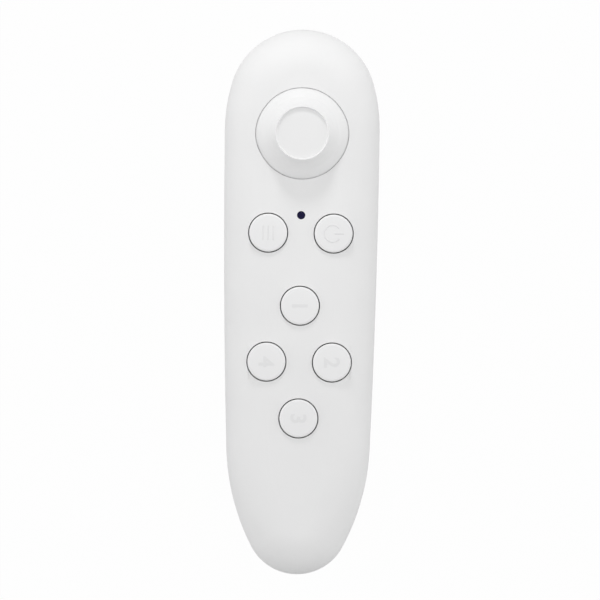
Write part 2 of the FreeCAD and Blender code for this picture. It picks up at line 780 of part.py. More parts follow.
key_board = moulded_plate("key_board", [
    ("-key_board_half", "-key_board_tail"),
    ("key_board_half", "-key_board_tail"),
    ("key_board_half", "key_board_head"),
    ("-key_board_half", "key_board_head"),
], "key_board_height", "board_thickness")
stick_board = moulded_plate("stick_board", [
    ("-stick_board_half", "stick_board_tail"),
    ("stick_board_half", "stick_board_tail"),
    ("stick_board_half", "stick_board_head - stick_board_corner"),
    ("stick_board_half - stick_board_corner", "stick_board_head"),
    ("stick_board_corner - stick_board_half", "stick_board_head"),
    ("-stick_board_half", "stick_board_head - stick_board_corner"),
], STICK_BOARD_BASE, "board_thickness")

def chip(name, x, y, width, depth, height, over, hanging=False):
    """A flat component on a board's upper face, or hanging from its lower one."""
    z = (f"{over} - ({height})", over) if hanging else (over, f"{over} + {height}")
    across = (f"{x} - {width} / 2", f"{x} + {width} / 2")
    along = (f"{y} - {depth} / 2", f"{y} + {depth} / 2")
    return block(name, across, along, z)


radio_chip = chip(
    "radio_chip",
    "-cell_spacing / 2",
    "head_posts",
    "chip_size",
    "chip_size",
    "chip_height",
    "key_board_height",
    True,
)
crystal = chip(
    "crystal", "0", "head_posts", "chip_size / 2", "chip_size / 3", "chip_height", "key_board_height", True
)
board_passives = joined("board_passives", *[
    chip(
        f"passive_{number}", f"column + {number % 3 - 1} * chip_size / 3",
        f"head_posts + {number // 3} * chip_size / 2", "chip_height", "chip_height / 2", "chip_height / 2",
        "key_board_height", True,
    )
    for number in range(9)
])
status_led = chip(
    "status_led", "0", "lamp_place", "2 * lamp_radius", "lamp_radius", "chip_height", BOARD_TOP
)
LENS_COLLAR = "shell_height - wall"
led_lens = turned("led_lens", [
    ("0", "shell_height"),
    ("0", f"{BOARD_TOP} + 2 * chip_height"),
    ("lamp_radius", f"{BOARD_TOP} + 2 * chip_height"),
    ("lamp_radius", f"{LENS_COLLAR} - chip_height"),
    ("2 * lamp_radius", f"{LENS_COLLAR} - chip_height"),
    ("2 * lamp_radius", LENS_COLLAR),
    ("lamp_radius", LENS_COLLAR),
    ("lamp_radius", "shell_height"),
], "0", "lamp_place")

SOCKET_HALF = "ribbon_half + wall / 2"
key_connector = block(
    "key_connector",
    (f"-({SOCKET_HALF})", SOCKET_HALF),
    ("key_board_head - connector_length", "key_board_head"),
    ("key_board_height - connector_height", "key_board_height"),
)
stick_connector = block(
    "stick_connector",
    (f"-({SOCKET_HALF})", SOCKET_HALF),
    ("stick_board_tail", "stick_board_tail + connector_length"),
    (f"{STICK_BOARD_BASE} - connector_height", STICK_BOARD_BASE),
)
RIBBON_HIGH = "key_board_height - connector_height / 2"
RIBBON_LOW = f"{STICK_BOARD_BASE} - connector_height / 2"
RIBBON_BEND = "key_board_head + wall"
board_ribbon = new_body("board_ribbon")
ribbon_edge = new_sketch(board_ribbon, "ribbon_edge", "YZ_Plane", "-ribbon_half")
loop(ribbon_edge, [
    ("key_board_head", RIBBON_HIGH),
    (f"{RIBBON_BEND} - ribbon_thickness", RIBBON_HIGH),
    (f"{RIBBON_BEND} - ribbon_thickness", RIBBON_LOW),
    ("stick_board_tail", RIBBON_LOW),
    ("stick_board_tail", f"{RIBBON_LOW} + ribbon_thickness"),
    (RIBBON_BEND, f"{RIBBON_LOW} + ribbon_thickness"),
    (RIBBON_BEND, f"{RIBBON_HIGH} + ribbon_thickness"),
    ("key_board_head", f"{RIBBON_HIGH} + ribbon_thickness"),
])
feature(board_ribbon, "Pad", "ribbon_pad", ribbon_edge, Length="2 * ribbon_half")

# Thumb stick and its gimbal, each drawn about the pivot

SKIRT = "(opening_radius - skirt_gap)"
INNER = "(opening_radius - skirt_gap - skirt_thickness)"
NECK_HEIGHT = f"sqrt({SKIRT} ^ 2 - neck_radius ^ 2)"
INNER_NECK = f"sqrt({INNER} ^ 2 - (neck_radius - skirt_thickness) ^ 2)"
RIM = "pivot_depth + rim_height"
cap_body = turned("cap_body", [
    ("0", "cap_ceiling"),
    ("neck_radius - 2 * skirt_thickness", "cap_ceiling"),
    ("neck_radius - skirt_thickness", INNER_NECK),
    (f"{INNER} * sin(skirt_angle)", f"{INNER} * cos(skirt_angle)"),
    (f"{SKIRT} * sin(skirt_angle)", f"{SKIRT} * cos(skirt_angle)", SKIRT),
    ("neck_radius", NECK_HEIGHT),
    ("rim_radius", f"{RIM} - rim_edge"),
    ("rim_radius - rim_edge", RIM),
    ("dish_radius", RIM),
    ("dish_radius", f"{RIM} - dish_depth"),
    ("0", f"{RIM} - dish_depth - dish_hollow"),
])
socket = rod(
    "socket", "socket_radius", "cap_ceiling - socket_mouth + skirt_thickness / 2", z="socket_mouth"
)
socket_bore = rod("socket_bore", "post_tip_radius", "post_tip - socket_mouth", z="socket_mouth")
stick_cap = less("stick_cap", joined("cap_solid", cap_body, socket), socket_bore)

square_post = block(
    "square_post", ("-post_half", "post_half"), ("-post_half", "post_half"), ("-foot_top", "post_shoulder")
)
stick_post = joined(
    "stick_post",
    square_post,
    rod("round_post", "post_radius", "socket_mouth - post_shoulder", z="post_shoulder"),
    rod("post_end", "post_tip_radius", "post_tip - post_shoulder", z="post_shoulder"),
    rod("post_foot", "foot_radius", "foot_thickness", z="-foot_top - foot_thickness"),
    rod("post_pin", "pin_radius", "2 * hub_depth", y="-hub_depth", along="y"),
)

WIPER_START = "frame_half + 2 * sensor_gap"
WIPER_END = f"{WIPER_START} + wiper_thickness"
hub = block("hub", ("-hub_half", "hub_half"), ("-hub_depth", "hub_depth"), ("-hub_height", "hub_height"))
hub_space = block(
    "hub_space",
    ("-hub_slot", "hub_slot"),
    ("-post_half - slot_play", "post_half + slot_play"),
    ("-frame_half", "frame_half"),
)
rocker_x_trunnions = rod(
    "rocker_x_trunnions", "trunnion_radius", f"trunnion_end + {WIPER_END}", "-trunnion_end", along="x"
)
rocker_x = less(
    "rocker_x",
    joined("rocker_x_solid", hub, rocker_x_trunnions),
    hub_space,
    rod("pin_bore", "pin_radius + running_fit", "2 * frame_half", y="-frame_half", along="y"),
)

arch = new_body("arch")
arch_outline = new_sketch(arch, "arch_outline", "YZ_Plane", "-arch_half")
loop(arch_outline, [
    ("arch_outer", "-arch_foot"),
    ("arch_outer", "0", "arch_outer"),
    ("0", "arch_outer", "arch_outer"),
    ("-arch_outer", "0"),
    ("-arch_outer", "-arch_foot"),
    ("-arch_inner", "-arch_foot"),
    ("-arch_inner", "0", "-arch_inner"),
    ("0", "arch_inner", "-arch_inner"),
    ("arch_inner", "0"),
    ("arch_inner", "-arch_foot"),
])
feature(arch, "Pad", "arch_pad", arch_outline, Length="2 * arch_half")
arch_opening = block(
    "arch_opening",
    ("-post_radius - slot_play", "post_radius + slot_play"),
    ("-arch_slot", "arch_slot"),
    ("0", "frame_half"),
)
rocker_y = joined(
    "rocker_y",
    less("slotted_arch", arch, arch_opening),
    rod("rocker_y_trunnion", "trunnion_radius", "trunnion_end - arch_inner", y="arch_inner", along="y"),
    rod("rocker_y_sensor_end", "trunnion_radius", f"{WIPER_END} - arch_inner", y=f"-({WIPER_END})", along="y"),
)

FRAME = ("-frame_half", "frame_half")
FRAME_SPACE = ("frame_wall - frame_half", "frame_half - frame_wall")
gimbal_frame = less(
    "gimbal_frame",
    block("frame_block", FRAME, FRAME, ("-frame_reach", "frame_reach")),
    block("frame_space", FRAME_SPACE, FRAME_SPACE, ("frame_floor - frame_reach", "frame_reach - frame_wall")),
    rod("frame_mouth", "frame_opening", "frame_reach"),
    rod("bore_x", "trunnion_radius + running_fit", "2 * frame_half", "-frame_half", along="x"),
    rod("bore_y", "trunnion_radius + running_fit", "2 * frame_half", y="-frame_half", along="y"),
)

SENSOR = ("-sensor_half", "sensor_half")
SENSOR_START = "frame_half + sensor_gap"


def turn_about_pivot(item, degrees):
    item.Placement = FreeCAD.Placement(V(), FreeCAD.Rotation(V(0, 0, 1), degrees))
    return item


def sensor(label, degrees):
    """A sensor case with its round chamber towards the frame and three legs to the board."""
    case = block(f"{label}_block", (SENSOR_START, f"{SENSOR_START} + sensor_depth"), SENSOR, SENSOR)
    chamber = rod(
        f"{label}_chamber",
        "wiper_radius + sensor_gap",
        "wiper_thickness + 2 * sensor_gap",
        SENSOR_START,
        along="x",
    )
    legs = [
        block(
            f"{label}_leg_{number}",
            (f"{SENSOR_START} + sensor_depth / 3", f"{SENSOR_START} + 2 * sensor_depth / 3"),
            (f"({number - 1} * 2 - 1/2) * sensor_half / 3", f"({number - 1} * 2 + 1/2) * sensor_half / 3"),
            ("-frame_reach", "-sensor_half"),
        )
        for number in range(3)
    ]
    return turn_about_pivot(joined(label, less(f"{label}_case", case, chamber), *legs), degrees)


def wiper(label, degrees):
    ring = less(
        label,
        rod(f"{label}_disc", "wiper_radius", "wiper_thickness", WIPER_START, along="x"),
        rod(f"{label}_bore", "trunnion_radius + thread_clearance", "2 * frame_half", along="x"),
    )
    return turn_about_pivot(ring, degrees)


tilt_parts = [
    stick_cap, stick_post, rocker_x, rocker_y, gimbal_frame,
    sensor("sensor_x", 0), sensor("sensor_y", -90), wiper("wiper_x", 0), wiper("wiper_y", -90),
]
for item in tilt_parts:
    place(item, "0", "stick_place", PIVOT)

# Triggers, their switches and plungers

FLANGE_INSET = "wall + trigger_play"
NOSE = ("stick_board_head", "body_length")
PLUNGER_FACE = "stick_board_head + plunger_proud"
flange_front = prism("flange_front", FLANGE_INSET, "0", "shell_height")
flange_back = prism("flange_back", f"{FLANGE_INSET} + trigger_flange", "-shell_height", HIGH)
nose_shell = less("nose_shell", outer_form, flange_back)
flange_shell = less("flange_shell", flange_front, flange_back)


def trigger(label, bottom, flange_bottom, centre):
    """A key that follows the nose, its hidden flange behind the wall and the finger at its back."""
    top = f"{bottom} + trigger_height"
    key_band = block(f"{label}_key_band", ("-trigger_half", "trigger_half"), NOSE, (bottom, top))
    flange_band = block(
        f"{label}_flange_band",
        ("-trigger_half - flange_reach", "trigger_half + flange_reach"),
        NOSE,
        (flange_bottom, top),
    )
    finger = block(
        f"{label}_finger",
        ("-finger_half", "finger_half"),
        (PLUNGER_FACE, f"body_length / 2 - ({FLANGE_INSET}) - trigger_flange / 2"),
        (f"{centre} - finger_half", f"{centre} + finger_half"),
    )
    key = shared(f"{label}_key", nose_shell, key_band)
    flange = shared(f"{label}_flange", flange_shell, flange_band)
    return joined(label, key, flange, finger)


def trigger_switch(label, base):
    case = block(
        f"{label}_case",
        ("-switch_half", "switch_half"),
        ("stick_board_head - switch_length", "stick_board_head"),
        (base, f"{base} + switch_height"),
    )
    bore = rod(
        f"{label}_bore", "plunger_radius + running_fit", "plunger_inside + 2 * trigger_travel", "0",
        "stick_board_head - plunger_inside - 2 * trigger_travel", f"{base} + switch_height / 2", "y",
    )
    return less(label, case, bore)


def plunger(label, centre):
    return rod(
        label,
        "plunger_radius",
        "plunger_inside + plunger_proud",
        "0",
        "stick_board_head - plunger_inside",
        centre,
        "y",
    )


UPPER_CENTRE = f"{STICK_BOARD_TOP} + switch_height / 2"
LOWER_CENTRE = f"{STICK_BOARD_BASE} - switch_height / 2"
UPPER_BASE = "trigger_base + trigger_height + trigger_gap"
trigger_parts = [
    trigger("upper_trigger", UPPER_BASE, UPPER_BASE, UPPER_CENTRE),
    trigger("lower_trigger", "trigger_base", "trigger_base + flange_foot", LOWER_CENTRE),
    trigger_switch("upper_switch", STICK_BOARD_TOP),
    trigger_switch("lower_switch", f"{STICK_BOARD_BASE} - switch_height"),
    plunger("upper_plunger", UPPER_CENTRE),
    plunger("lower_plunger", LOWER_CENTRE),
]

# Cells and their contacts


def cell(label, degrees, x, y):
    """A cell whose tip points to the head or the tail."""
    item = turned(label, [
        ("0", "0"),
        ("cell_radius", "0"),
        ("cell_radius", "cell_length - cell_tip_height"),
        ("cell_tip_radius", "cell_length - cell_tip_height"),
        ("cell_tip_radius", "cell_length"),
        ("0", "cell_length"),
    ])
    item.Placement = FreeCAD.Placement(V(), FreeCAD.Rotation(V(1, 0, 0), degrees))
    return place(item, x, y, CELL_HEIGHT)


cells = [
    cell("cell_left", -90, "-cell_spacing / 2", f"{CELL_HEAD} - cell_length"),
    cell("cell_right", 90, "cell_spacing / 2", f"{TAIL_CONTACT} + nub_height + contact_gap + cell_length"),
]


def leaf(name, degrees, x, plate):
    """A bent leaf that springs out of a contact plate and presses on the end of a cell."""
    body = new_body(name)
    sketch = new_sketch(body, f"{name}_edge", "XZ_Plane", "-leaf_half")
    loop(sketch, [
        ("-contact_reach / 2", "-contact_thickness"),
        ("-contact_reach / 2 + contact_thickness", "0"),
        ("-leaf_flat", "spring_length - contact_thickness"),
        ("leaf_flat", "spring_length - contact_thickness"),
        ("leaf_end - contact_thickness", "leaf_rise"),
        ("leaf_end", "leaf_rise"),
        ("leaf_flat + contact_thickness / 2", "spring_length"),
        ("-leaf_flat - contact_thickness / 2", "spring_length"),
        ("-contact_reach / 2 - contact_thickness", "0"),
    ])
    feature(body, "Pad", f"{name}_pad", sketch, Length="2 * leaf_half")
    turn = FreeCAD.Rotation(V(1, 0, 0), degrees) * FreeCAD.Rotation(V(0, 0, 1), 90)
    body.Placement = FreeCAD.Placement(V(), turn)
    return place(body, x, plate, CELL_HEIGHT)


def contact_plate(name, left, right, y):
    heights = (f"{CELL_HEIGHT} - contact_reach", f"{CELL_HEIGHT} + contact_reach")
    across = (f"{left} - contact_half", f"{right} + contact_half")
    return block(name, across, (y, f"{y} + contact_thickness"), heights)


def contact_leg(name, x):
    return block(
        name,
        (f"{x} - leg_half", f"{x} + leg_half"),
        (HEAD_CONTACT, "bay_head"),
        (CELL_HEIGHT, "key_board_height"),
    )


LEFT_CELL = "-cell_spacing / 2"
RIGHT_CELL = "cell_spacing / 2"
NUB_LENGTH = "nub_height + contact_thickness / 2"
contact_positive = joined(
    "contact_positive",
    contact_plate("positive_plate", LEFT_CELL, LEFT_CELL, HEAD_CONTACT),
    contact_leg("positive_leg", LEFT_CELL),
    rod("positive_nub", "nub_radius", NUB_LENGTH, LEFT_CELL, f"{HEAD_CONTACT} - nub_height", CELL_HEIGHT, "y"),
)
contact_negative = joined(
    "contact_negative",
    contact_plate("negative_plate", RIGHT_CELL, RIGHT_CELL, HEAD_CONTACT),
    contact_leg("negative_leg", RIGHT_CELL),
    leaf("negative_leaf", 90, RIGHT_CELL, HEAD_CONTACT),
)
contact_link = joined(
    "contact_link",
    contact_plate("link_plate", LEFT_CELL, RIGHT_CELL, BAY_TAIL),
    rod(
        "link_nub",
        "nub_radius",
        NUB_LENGTH,
        RIGHT_CELL,
        f"{BAY_TAIL} + contact_thickness / 2",
        CELL_HEIGHT,
        "y",
    ),
    leaf("link_leaf", -90, LEFT_CELL, TAIL_CONTACT),
)

# Check and write

sub_parts = [
    top_shell, bottom_shell, battery_door, housing_screws,
    *buttons, *domes,
    key_board, radio_chip, crystal, board_passives, status_led, led_lens,
    stick_board, key_connector, stick_connector, board_ribbon,
    *tilt_parts,
    *trigger_parts,
    *cells, contact_positive, contact_negative, contact_link,
]
document.recompute()
faults = [item.Name for item in document.Objects if "Invalid" in item.State or "Error" in item.State]
for item in sub_parts:
    if item.Shape.isNull() or not item.Shape.isValid() or not item.Shape.Solids:
        faults.append(item.Label)
if faults:
    raise RuntimeError("faulty: " + ", ".join(faults))
os.makedirs("parts", exist_ok=True)
for item in sub_parts:
    item.Shape.exportStep(f"parts/{item.Label}.step")
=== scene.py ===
"""Looks of a slim white wireless game controller: its finishes, and the pieces finer than its solids."""

import json
import math

import bmesh
import bpy
from mathutils import Matrix, Vector


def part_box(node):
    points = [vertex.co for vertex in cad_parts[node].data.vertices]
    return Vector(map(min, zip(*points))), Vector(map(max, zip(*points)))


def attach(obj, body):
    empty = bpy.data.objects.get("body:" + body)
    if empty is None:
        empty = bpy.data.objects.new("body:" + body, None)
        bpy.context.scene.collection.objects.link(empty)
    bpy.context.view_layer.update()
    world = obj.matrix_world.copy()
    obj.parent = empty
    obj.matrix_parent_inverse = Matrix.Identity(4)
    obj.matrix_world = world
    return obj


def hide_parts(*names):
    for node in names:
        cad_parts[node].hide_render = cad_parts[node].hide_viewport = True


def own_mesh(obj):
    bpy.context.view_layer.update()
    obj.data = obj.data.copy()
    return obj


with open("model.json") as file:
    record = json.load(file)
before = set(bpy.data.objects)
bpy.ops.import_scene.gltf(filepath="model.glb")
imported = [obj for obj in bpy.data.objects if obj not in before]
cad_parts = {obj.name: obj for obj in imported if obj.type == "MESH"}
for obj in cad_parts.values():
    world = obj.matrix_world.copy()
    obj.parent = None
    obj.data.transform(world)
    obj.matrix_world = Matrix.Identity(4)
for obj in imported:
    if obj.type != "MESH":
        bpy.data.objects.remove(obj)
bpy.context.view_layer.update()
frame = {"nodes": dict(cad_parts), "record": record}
NODES = frame["nodes"]

MM = 0.001


def linked(name, data):
    """A new object in the scene, at the origin."""
    made = bpy.data.objects.new(name, data)
    bpy.context.scene.collection.objects.link(made)
    return made


# Camera, straight above the face, with the head leaning a little to the right

# The lens in millimetres, its place in metres and its lean in degrees
LENS_LENGTH = 600
SENSOR_WIDTH = 36
CAMERA_PLACE = (0.0, 0.00048, 2.418)
HEAD_LEAN = 0.78


def photo_camera():
    """A long lens high above the face, which shows it almost without perspective."""
    data = bpy.data.cameras.new("photo_camera")
    data.lens = LENS_LENGTH
    data.sensor_width = SENSOR_WIDTH
    data.clip_start = 0.05
    data.clip_end = 20
    camera = linked("photo_camera", data)
    camera.location = CAMERA_PLACE
    camera.rotation_euler = (0.0, 0.0, math.radians(HEAD_LEAN))
    bpy.context.scene.camera = camera


photo_camera()
bpy.context.scene.view_settings.view_transform = "Standard"


# Shader effects that several finishes share

MOULD_GRAINS = 3800.0
TONE_PATCHES = 70.0
ROLLED_LINES = 260.0
EDGE_GAIN = 6.0


def effect(name, inputs, outputs):
    """An empty shader group with named number sockets, its inside nodes and its two ends."""
    group = bpy.data.node_groups.new(name, "ShaderNodeTree")
    for label, default in inputs:
        socket = group.interface.new_socket(name=label, in_out="INPUT", socket_type="NodeSocketFloat")
        socket.default_value = default
    for label in outputs:
        group.interface.new_socket(name=label, in_out="OUTPUT", socket_type="NodeSocketFloat")
    return group, group.nodes.new("NodeGroupInput"), group.nodes.new("NodeGroupOutput")


def node(tree, kind, **values):
    """A node with its settings; names of inputs are given with their spaces as underscores."""
    made = tree.nodes.new("ShaderNode" + kind)
    for key, given in values.items():
        if hasattr(made, key):
            setattr(made, key, given)
        else:
            made.inputs[key.replace("_", " ")].default_value = given
    return made


def maths(tree, operation, first, second=0.0, clamp=False):
    """One step of arithmetic on sockets or plain numbers."""
    step = tree.nodes.new("ShaderNodeMath")
    step.operation = operation
    step.use_clamp = clamp
    for socket, given in zip(step.inputs, (first, second)):
        if isinstance(given, (int, float)):
            socket.default_value = given
        else:
            tree.links.new(given, socket)
    return step.outputs[0]


def sharpened(tree, mask, start, gain):
    """A soft mask that begins at its start, rises faster by the gain and stays between 0 and 1."""
    return maths(tree, "MULTIPLY", maths(tree, "SUBTRACT", mask, start, clamp=True), gain, clamp=True)


def place_on_piece(tree, stretch=(1, 1, 1), turn=(0, 0, 0)):
    """The piece's own coordinates, stretched or turned for a pattern."""
    where = node(tree, "TexCoord")
    mapping = node(tree, "Mapping", Scale=stretch, Rotation=turn)
    tree.links.new(where.outputs["Object"], mapping.inputs["Vector"])
    return mapping.outputs["Vector"]


def pattern(tree, kind, stretch=(1, 1, 1), turn=(0, 0, 0), **values):
    """A texture laid on the piece's own coordinates."""
    texture = node(tree, kind, **values)
    tree.links.new(place_on_piece(tree, stretch, turn), texture.inputs["Vector"])
    return texture


def spark_grain():
    """The fine even grain that a spark-eroded mould leaves, and the slow drift of tone across a moulding."""
    group, given, result = effect(
        "spark_grain",
        [("Grains per Metre", MOULD_GRAINS), ("Patches per Metre", TONE_PATCHES)],
        ["Height", "Drift"],
    )
    fine = pattern(group, "TexNoise", Detail=3.0, Roughness=0.62)
    slow = pattern(group, "TexNoise", Detail=2.0, Roughness=0.5)
    group.links.new(given.outputs["Grains per Metre"], fine.inputs["Scale"])
    group.links.new(given.outputs["Patches per Metre"], slow.inputs["Scale"])
    group.links.new(fine.outputs["Fac"], result.inputs["Height"])
    group.links.new(slow.outputs["Fac"], result.inputs["Drift"])
    return group


def rubbed_edges():
    """A mask along sharp outer edges, broken up, where handling polishes or scrapes the surface."""
    group, given, result = effect("rubbed_edges", [("Width", 0.0003), ("Amount", 1.0)], ["Mask"])
    rounded_off = node(group, "Bevel", samples=4)
    group.links.new(given.outputs["Width"], rounded_off.inputs["Radius"])
    surface = node(group, "NewGeometry")
    dot = node(group, "VectorMath", operation="DOT_PRODUCT")
    group.links.new(rounded_off.outputs["Normal"], dot.inputs[0])
    group.links.new(surface.outputs["Normal"], dot.inputs[1])
    turned_away = maths(group, "SUBTRACT", 1.0, dot.outputs["Value"])
    edge = maths(group, "MULTIPLY", turned_away, EDGE_GAIN, clamp=True)
    patches = pattern(group, "TexNoise", Scale=900.0, Detail=3.0, Roughness=0.6)
    broken = maths(group, "MULTIPLY", edge, patches.outputs["Fac"])
    mask = maths(group, "MULTIPLY", broken, given.outputs["Amount"], clamp=True)
    group.links.new(mask, result.inputs["Mask"])
    return group


def handling():
    """Roughness that skin grease and light scuffs leave: broad smudges with fine crossed hairlines."""
    group, given, result = effect(
        "handling", [("Base", 0.45), ("Smudge", 0.08), ("Hairlines", 0.05)], ["Roughness"]
    )
    smudge = pattern(group, "TexNoise", Scale=95.0, Detail=4.0, Roughness=0.55)
    along = pattern(group, "TexNoise", (60, 2, 12), (0, 0, 0.6), Scale=60.0, Detail=2.0, Roughness=0.5)
    across = pattern(group, "TexNoise", (2, 55, 12), (0, 0, 0.35), Scale=60.0, Detail=2.0, Roughness=0.5)
    lines = maths(group, "MAXIMUM", along.outputs["Fac"], across.outputs["Fac"])
    scratched = sharpened(group, lines, 0.62, 4.0)
    centred = maths(group, "SUBTRACT", smudge.outputs["Fac"], 0.5)
    grease = maths(group, "MULTIPLY", centred, given.outputs["Smudge"])
    hair = maths(group, "MULTIPLY", scratched, given.outputs["Hairlines"])
    total = maths(group, "ADD", given.outputs["Base"], maths(group, "ADD", grease, hair), clamp=True)
    group.links.new(total, result.inputs["Roughness"])
    return group


def drawn_metal():
    """Fine parallel lines that rolling leaves in sheet metal, along the piece's length."""
    group, given, result = effect("drawn_metal", [("Lines", ROLLED_LINES)], ["Height", "Stain"])
    lines = pattern(group, "TexNoise", (40, 1, 40), Detail=4.0, Roughness=0.7)
    group.links.new(given.outputs["Lines"], lines.inputs["Scale"])
    stain = pattern(group, "TexNoise", Scale=420.0, Detail=3.0, Roughness=0.6)
    group.links.new(lines.outputs["Fac"], result.inputs["Height"])
    group.links.new(stain.outputs["Fac"], result.inputs["Stain"])
    return group


SPARK_GRAIN = spark_grain()
RUBBED_EDGES = rubbed_edges()
HANDLING = handling()
DRAWN_METAL = drawn_metal()


# Finishes

# Depths of relief in metres
PLASTIC_RELIEF = 0.000012
KEY_RELIEF = 0.000008
METAL_RELIEF = 0.000006
TRACK_RELIEF = 0.00003
CONDUCTOR_RELIEF = 0.00002
LENS_RELIEF = 0.000003


def blank(name):
    """A new material, its node tree and its shader."""
    material = bpy.data.materials.new(name)
    material.use_nodes = True
    tree = material.node_tree
    tree.nodes.clear()
    shader = tree.nodes.new("ShaderNodeBsdfPrincipled")
    output = tree.nodes.new("ShaderNodeOutputMaterial")
    tree.links.new(shader.outputs["BSDF"], output.inputs["Surface"])
    return material, tree, shader


def use(tree, group, **values):
    """The outputs of a shared effect that is placed in a material with its own values."""
    placed = tree.nodes.new("ShaderNodeGroup")
    placed.node_tree = group
    for key, given in values.items():
        placed.inputs[key.replace("_", " ")].default_value = given
    return placed.outputs


def colour_mix(tree, factor, first, second):
    """One colour over another by a mask; each is a colour or a socket."""
    mix = tree.nodes.new("ShaderNodeMix")
    mix.data_type = "RGBA"
    tree.links.new(factor, mix.inputs["Factor"])
    # The node's number and colour sockets share their names, so the colours are taken by their places
    for socket, given in ((mix.inputs[6], first), (mix.inputs[7], second)):
        if isinstance(given, tuple):
            socket.default_value = (*given, 1.0)
        else:
            tree.links.new(given, socket)
    return mix.outputs[2]


def paint(tree, shader, colour):
    """Give the shader its colour from a socket."""
    tree.links.new(colour, shader.inputs["Base Color"])


def touch(tree, shader, **values):
    """Give the shader the roughness that handling leaves, with the material's own values."""
    tree.links.new(use(tree, HANDLING, **values)["Roughness"], shader.inputs["Roughness"])


def raise_surface(tree, shader, height, depth):
    """Turn a height from 0 to 1 into relief of the given depth in metres."""
    bump = node(tree, "Bump", Strength=1.0, Distance=depth)
    tree.links.new(height, bump.inputs["Height"])
    tree.links.new(bump.outputs["Normal"], shader.inputs["Normal"])


def moulded_plastic(name, colour, drifted, rubbed, roughness, depth=PLASTIC_RELIEF):
    """Moulded plastic: a base tone that drifts, edges that handling has rubbed, smudges and mould grain."""
    material, tree, shader = blank(name)
    grain = use(tree, SPARK_GRAIN)
    body = colour_mix(tree, sharpened(tree, grain["Drift"], 0.3, 1.6), colour, drifted)
    edges = use(tree, RUBBED_EDGES, Amount=0.5)
    paint(tree, shader, colour_mix(tree, edges["Mask"], body, rubbed))
    touch(tree, shader, Base=roughness)
    raise_surface(tree, shader, grain["Height"], depth)
    shader.inputs["IOR"].default_value = 1.49
    return material


def sheet_metal(name, colour, stained, roughness, lines=ROLLED_LINES):
    """Rolled or plated metal, with its drawn lines, light staining and brighter edges."""
    material, tree, shader = blank(name)
    rolled = use(tree, DRAWN_METAL, Lines=lines)
    edges = use(tree, RUBBED_EDGES, Width=0.00015, Amount=0.7)
    body = colour_mix(tree, rolled["Stain"], colour, stained)
    bright = tuple(min(1.0, part * 1.15) for part in colour)
    paint(tree, shader, colour_mix(tree, edges["Mask"], body, bright))
    touch(tree, shader, Base=roughness, Smudge=0.15)
    raise_surface(tree, shader, rolled["Height"], METAL_RELIEF)
    shader.inputs["Metallic"].default_value = 1.0
    return material


def board_laminate():
    """Green solder resist over copper tracks, with small plated holes and the weave of the glass cloth."""
    material, tree, shader = blank("board_laminate")
    tracks = pattern(
        tree, "TexBrick", offset=0.37, offset_frequency=2, squash=0.6, squash_frequency=3,
        Scale=420.0, Mortar_Size=0.06, Mortar_Smooth=0.1, Brick_Width=0.9, Row_Height=0.32,
    )
    holes = pattern(tree, "TexVoronoi", feature="F1", Scale=330.0)
    weave = pattern(tree, "TexWave", wave_type="BANDS", bands_direction="DIAGONAL", Scale=900.0)
    hole = maths(tree, "LESS_THAN", holes.outputs["Distance"], 0.13)
    resist = colour_mix(tree, weave.outputs["Fac"], (0.012, 0.105, 0.045), (0.016, 0.125, 0.055))
    tracked = colour_mix(tree, tracks.outputs["Fac"], resist, (0.03, 0.21, 0.08))
    paint(tree, shader, colour_mix(tree, hole, tracked, (0.72, 0.66, 0.5)))
    touch(tree, shader, Base=0.32, Smudge=0.12)
    raise_surface(tree, shader, tracks.outputs["Fac"], TRACK_RELIEF)
    return material


def ribbon_film():
    """Amber film with the flat conductors showing through it, side by side across its width."""
    material, tree, shader = blank("ribbon_film")
    conductors = pattern(
        tree, "TexWave", wave_type="BANDS", bands_direction="X", wave_profile="SIN", Scale=160.0
    )
    clear = use(tree, SPARK_GRAIN, Grains_per_Metre=1500.0)
    amber = colour_mix(tree, clear["Drift"], (0.5, 0.2, 0.03), (0.42, 0.15, 0.02))
    paint(tree, shader, colour_mix(tree, conductors.outputs["Fac"], amber, (0.62, 0.3, 0.08)))
    touch(tree, shader, Base=0.22, Smudge=0.1)
    raise_surface(tree, shader, conductors.outputs["Fac"], CONDUCTOR_RELIEF)
    return material


def lens_window():
    """The status lamp's window: glossy deep navy plastic, dark because the lamp is off."""
    material, tree, shader = blank("lens_window")
    clouds = use(tree, SPARK_GRAIN, Grains_per_Metre=2200.0, Patches_per_Metre=900.0)
    paint(tree, shader, colour_mix(tree, clouds["Drift"], (0.004, 0.003, 0.025), (0.008, 0.006, 0.05)))
    touch(tree, shader, Base=0.16, Smudge=0.1)
    raise_surface(tree, shader, clouds["Height"], LENS_RELIEF)
    shader.inputs["Specular IOR Level"].default_value = 0.12
    return material


# Each plastic has its tone, the tone that it drifts to, the tone of its rubbed edges and its roughness
SHELL_WHITE = moulded_plastic("shell_white", (0.86, 0.86, 0.86), (0.83, 0.83, 0.832), (0.9, 0.9, 0.9), 0.72)
KEY_WHITE = moulded_plastic(
    "key_white", (0.87, 0.87, 0.872), (0.845, 0.845, 0.85), (0.91, 0.91, 0.91), 0.4, KEY_RELIEF
)
# The markings are the keys' own plastic, painted a little darker as painted shade for the edges of their low
# relief
MARKING_SHADE_WHITE = moulded_plastic(
    "key_marking_painted_shade", (0.805, 0.805, 0.81), (0.785, 0.785, 0.79), (0.86, 0.86, 0.86), 0.42
)
STICK_WHITE = moulded_plastic("stick_white", (0.865, 0.865, 0.865), (0.84, 0.84, 0.842), (0.9, 0.9, 0.9), 0.5)
POST_NYLON = moulded_plastic("post_nylon", (0.74, 0.73, 0.69), (0.68, 0.67, 0.62), (0.8, 0.8, 0.77), 0.4)
DOME_SILICONE = moulded_plastic(
    "dome_silicone", (0.62, 0.64, 0.66), (0.56, 0.58, 0.61), (0.7, 0.71, 0.73), 0.55
)
CHIP_EPOXY = moulded_plastic(
    "chip_epoxy", (0.018, 0.018, 0.02), (0.026, 0.026, 0.028), (0.07, 0.07, 0.07), 0.55
)
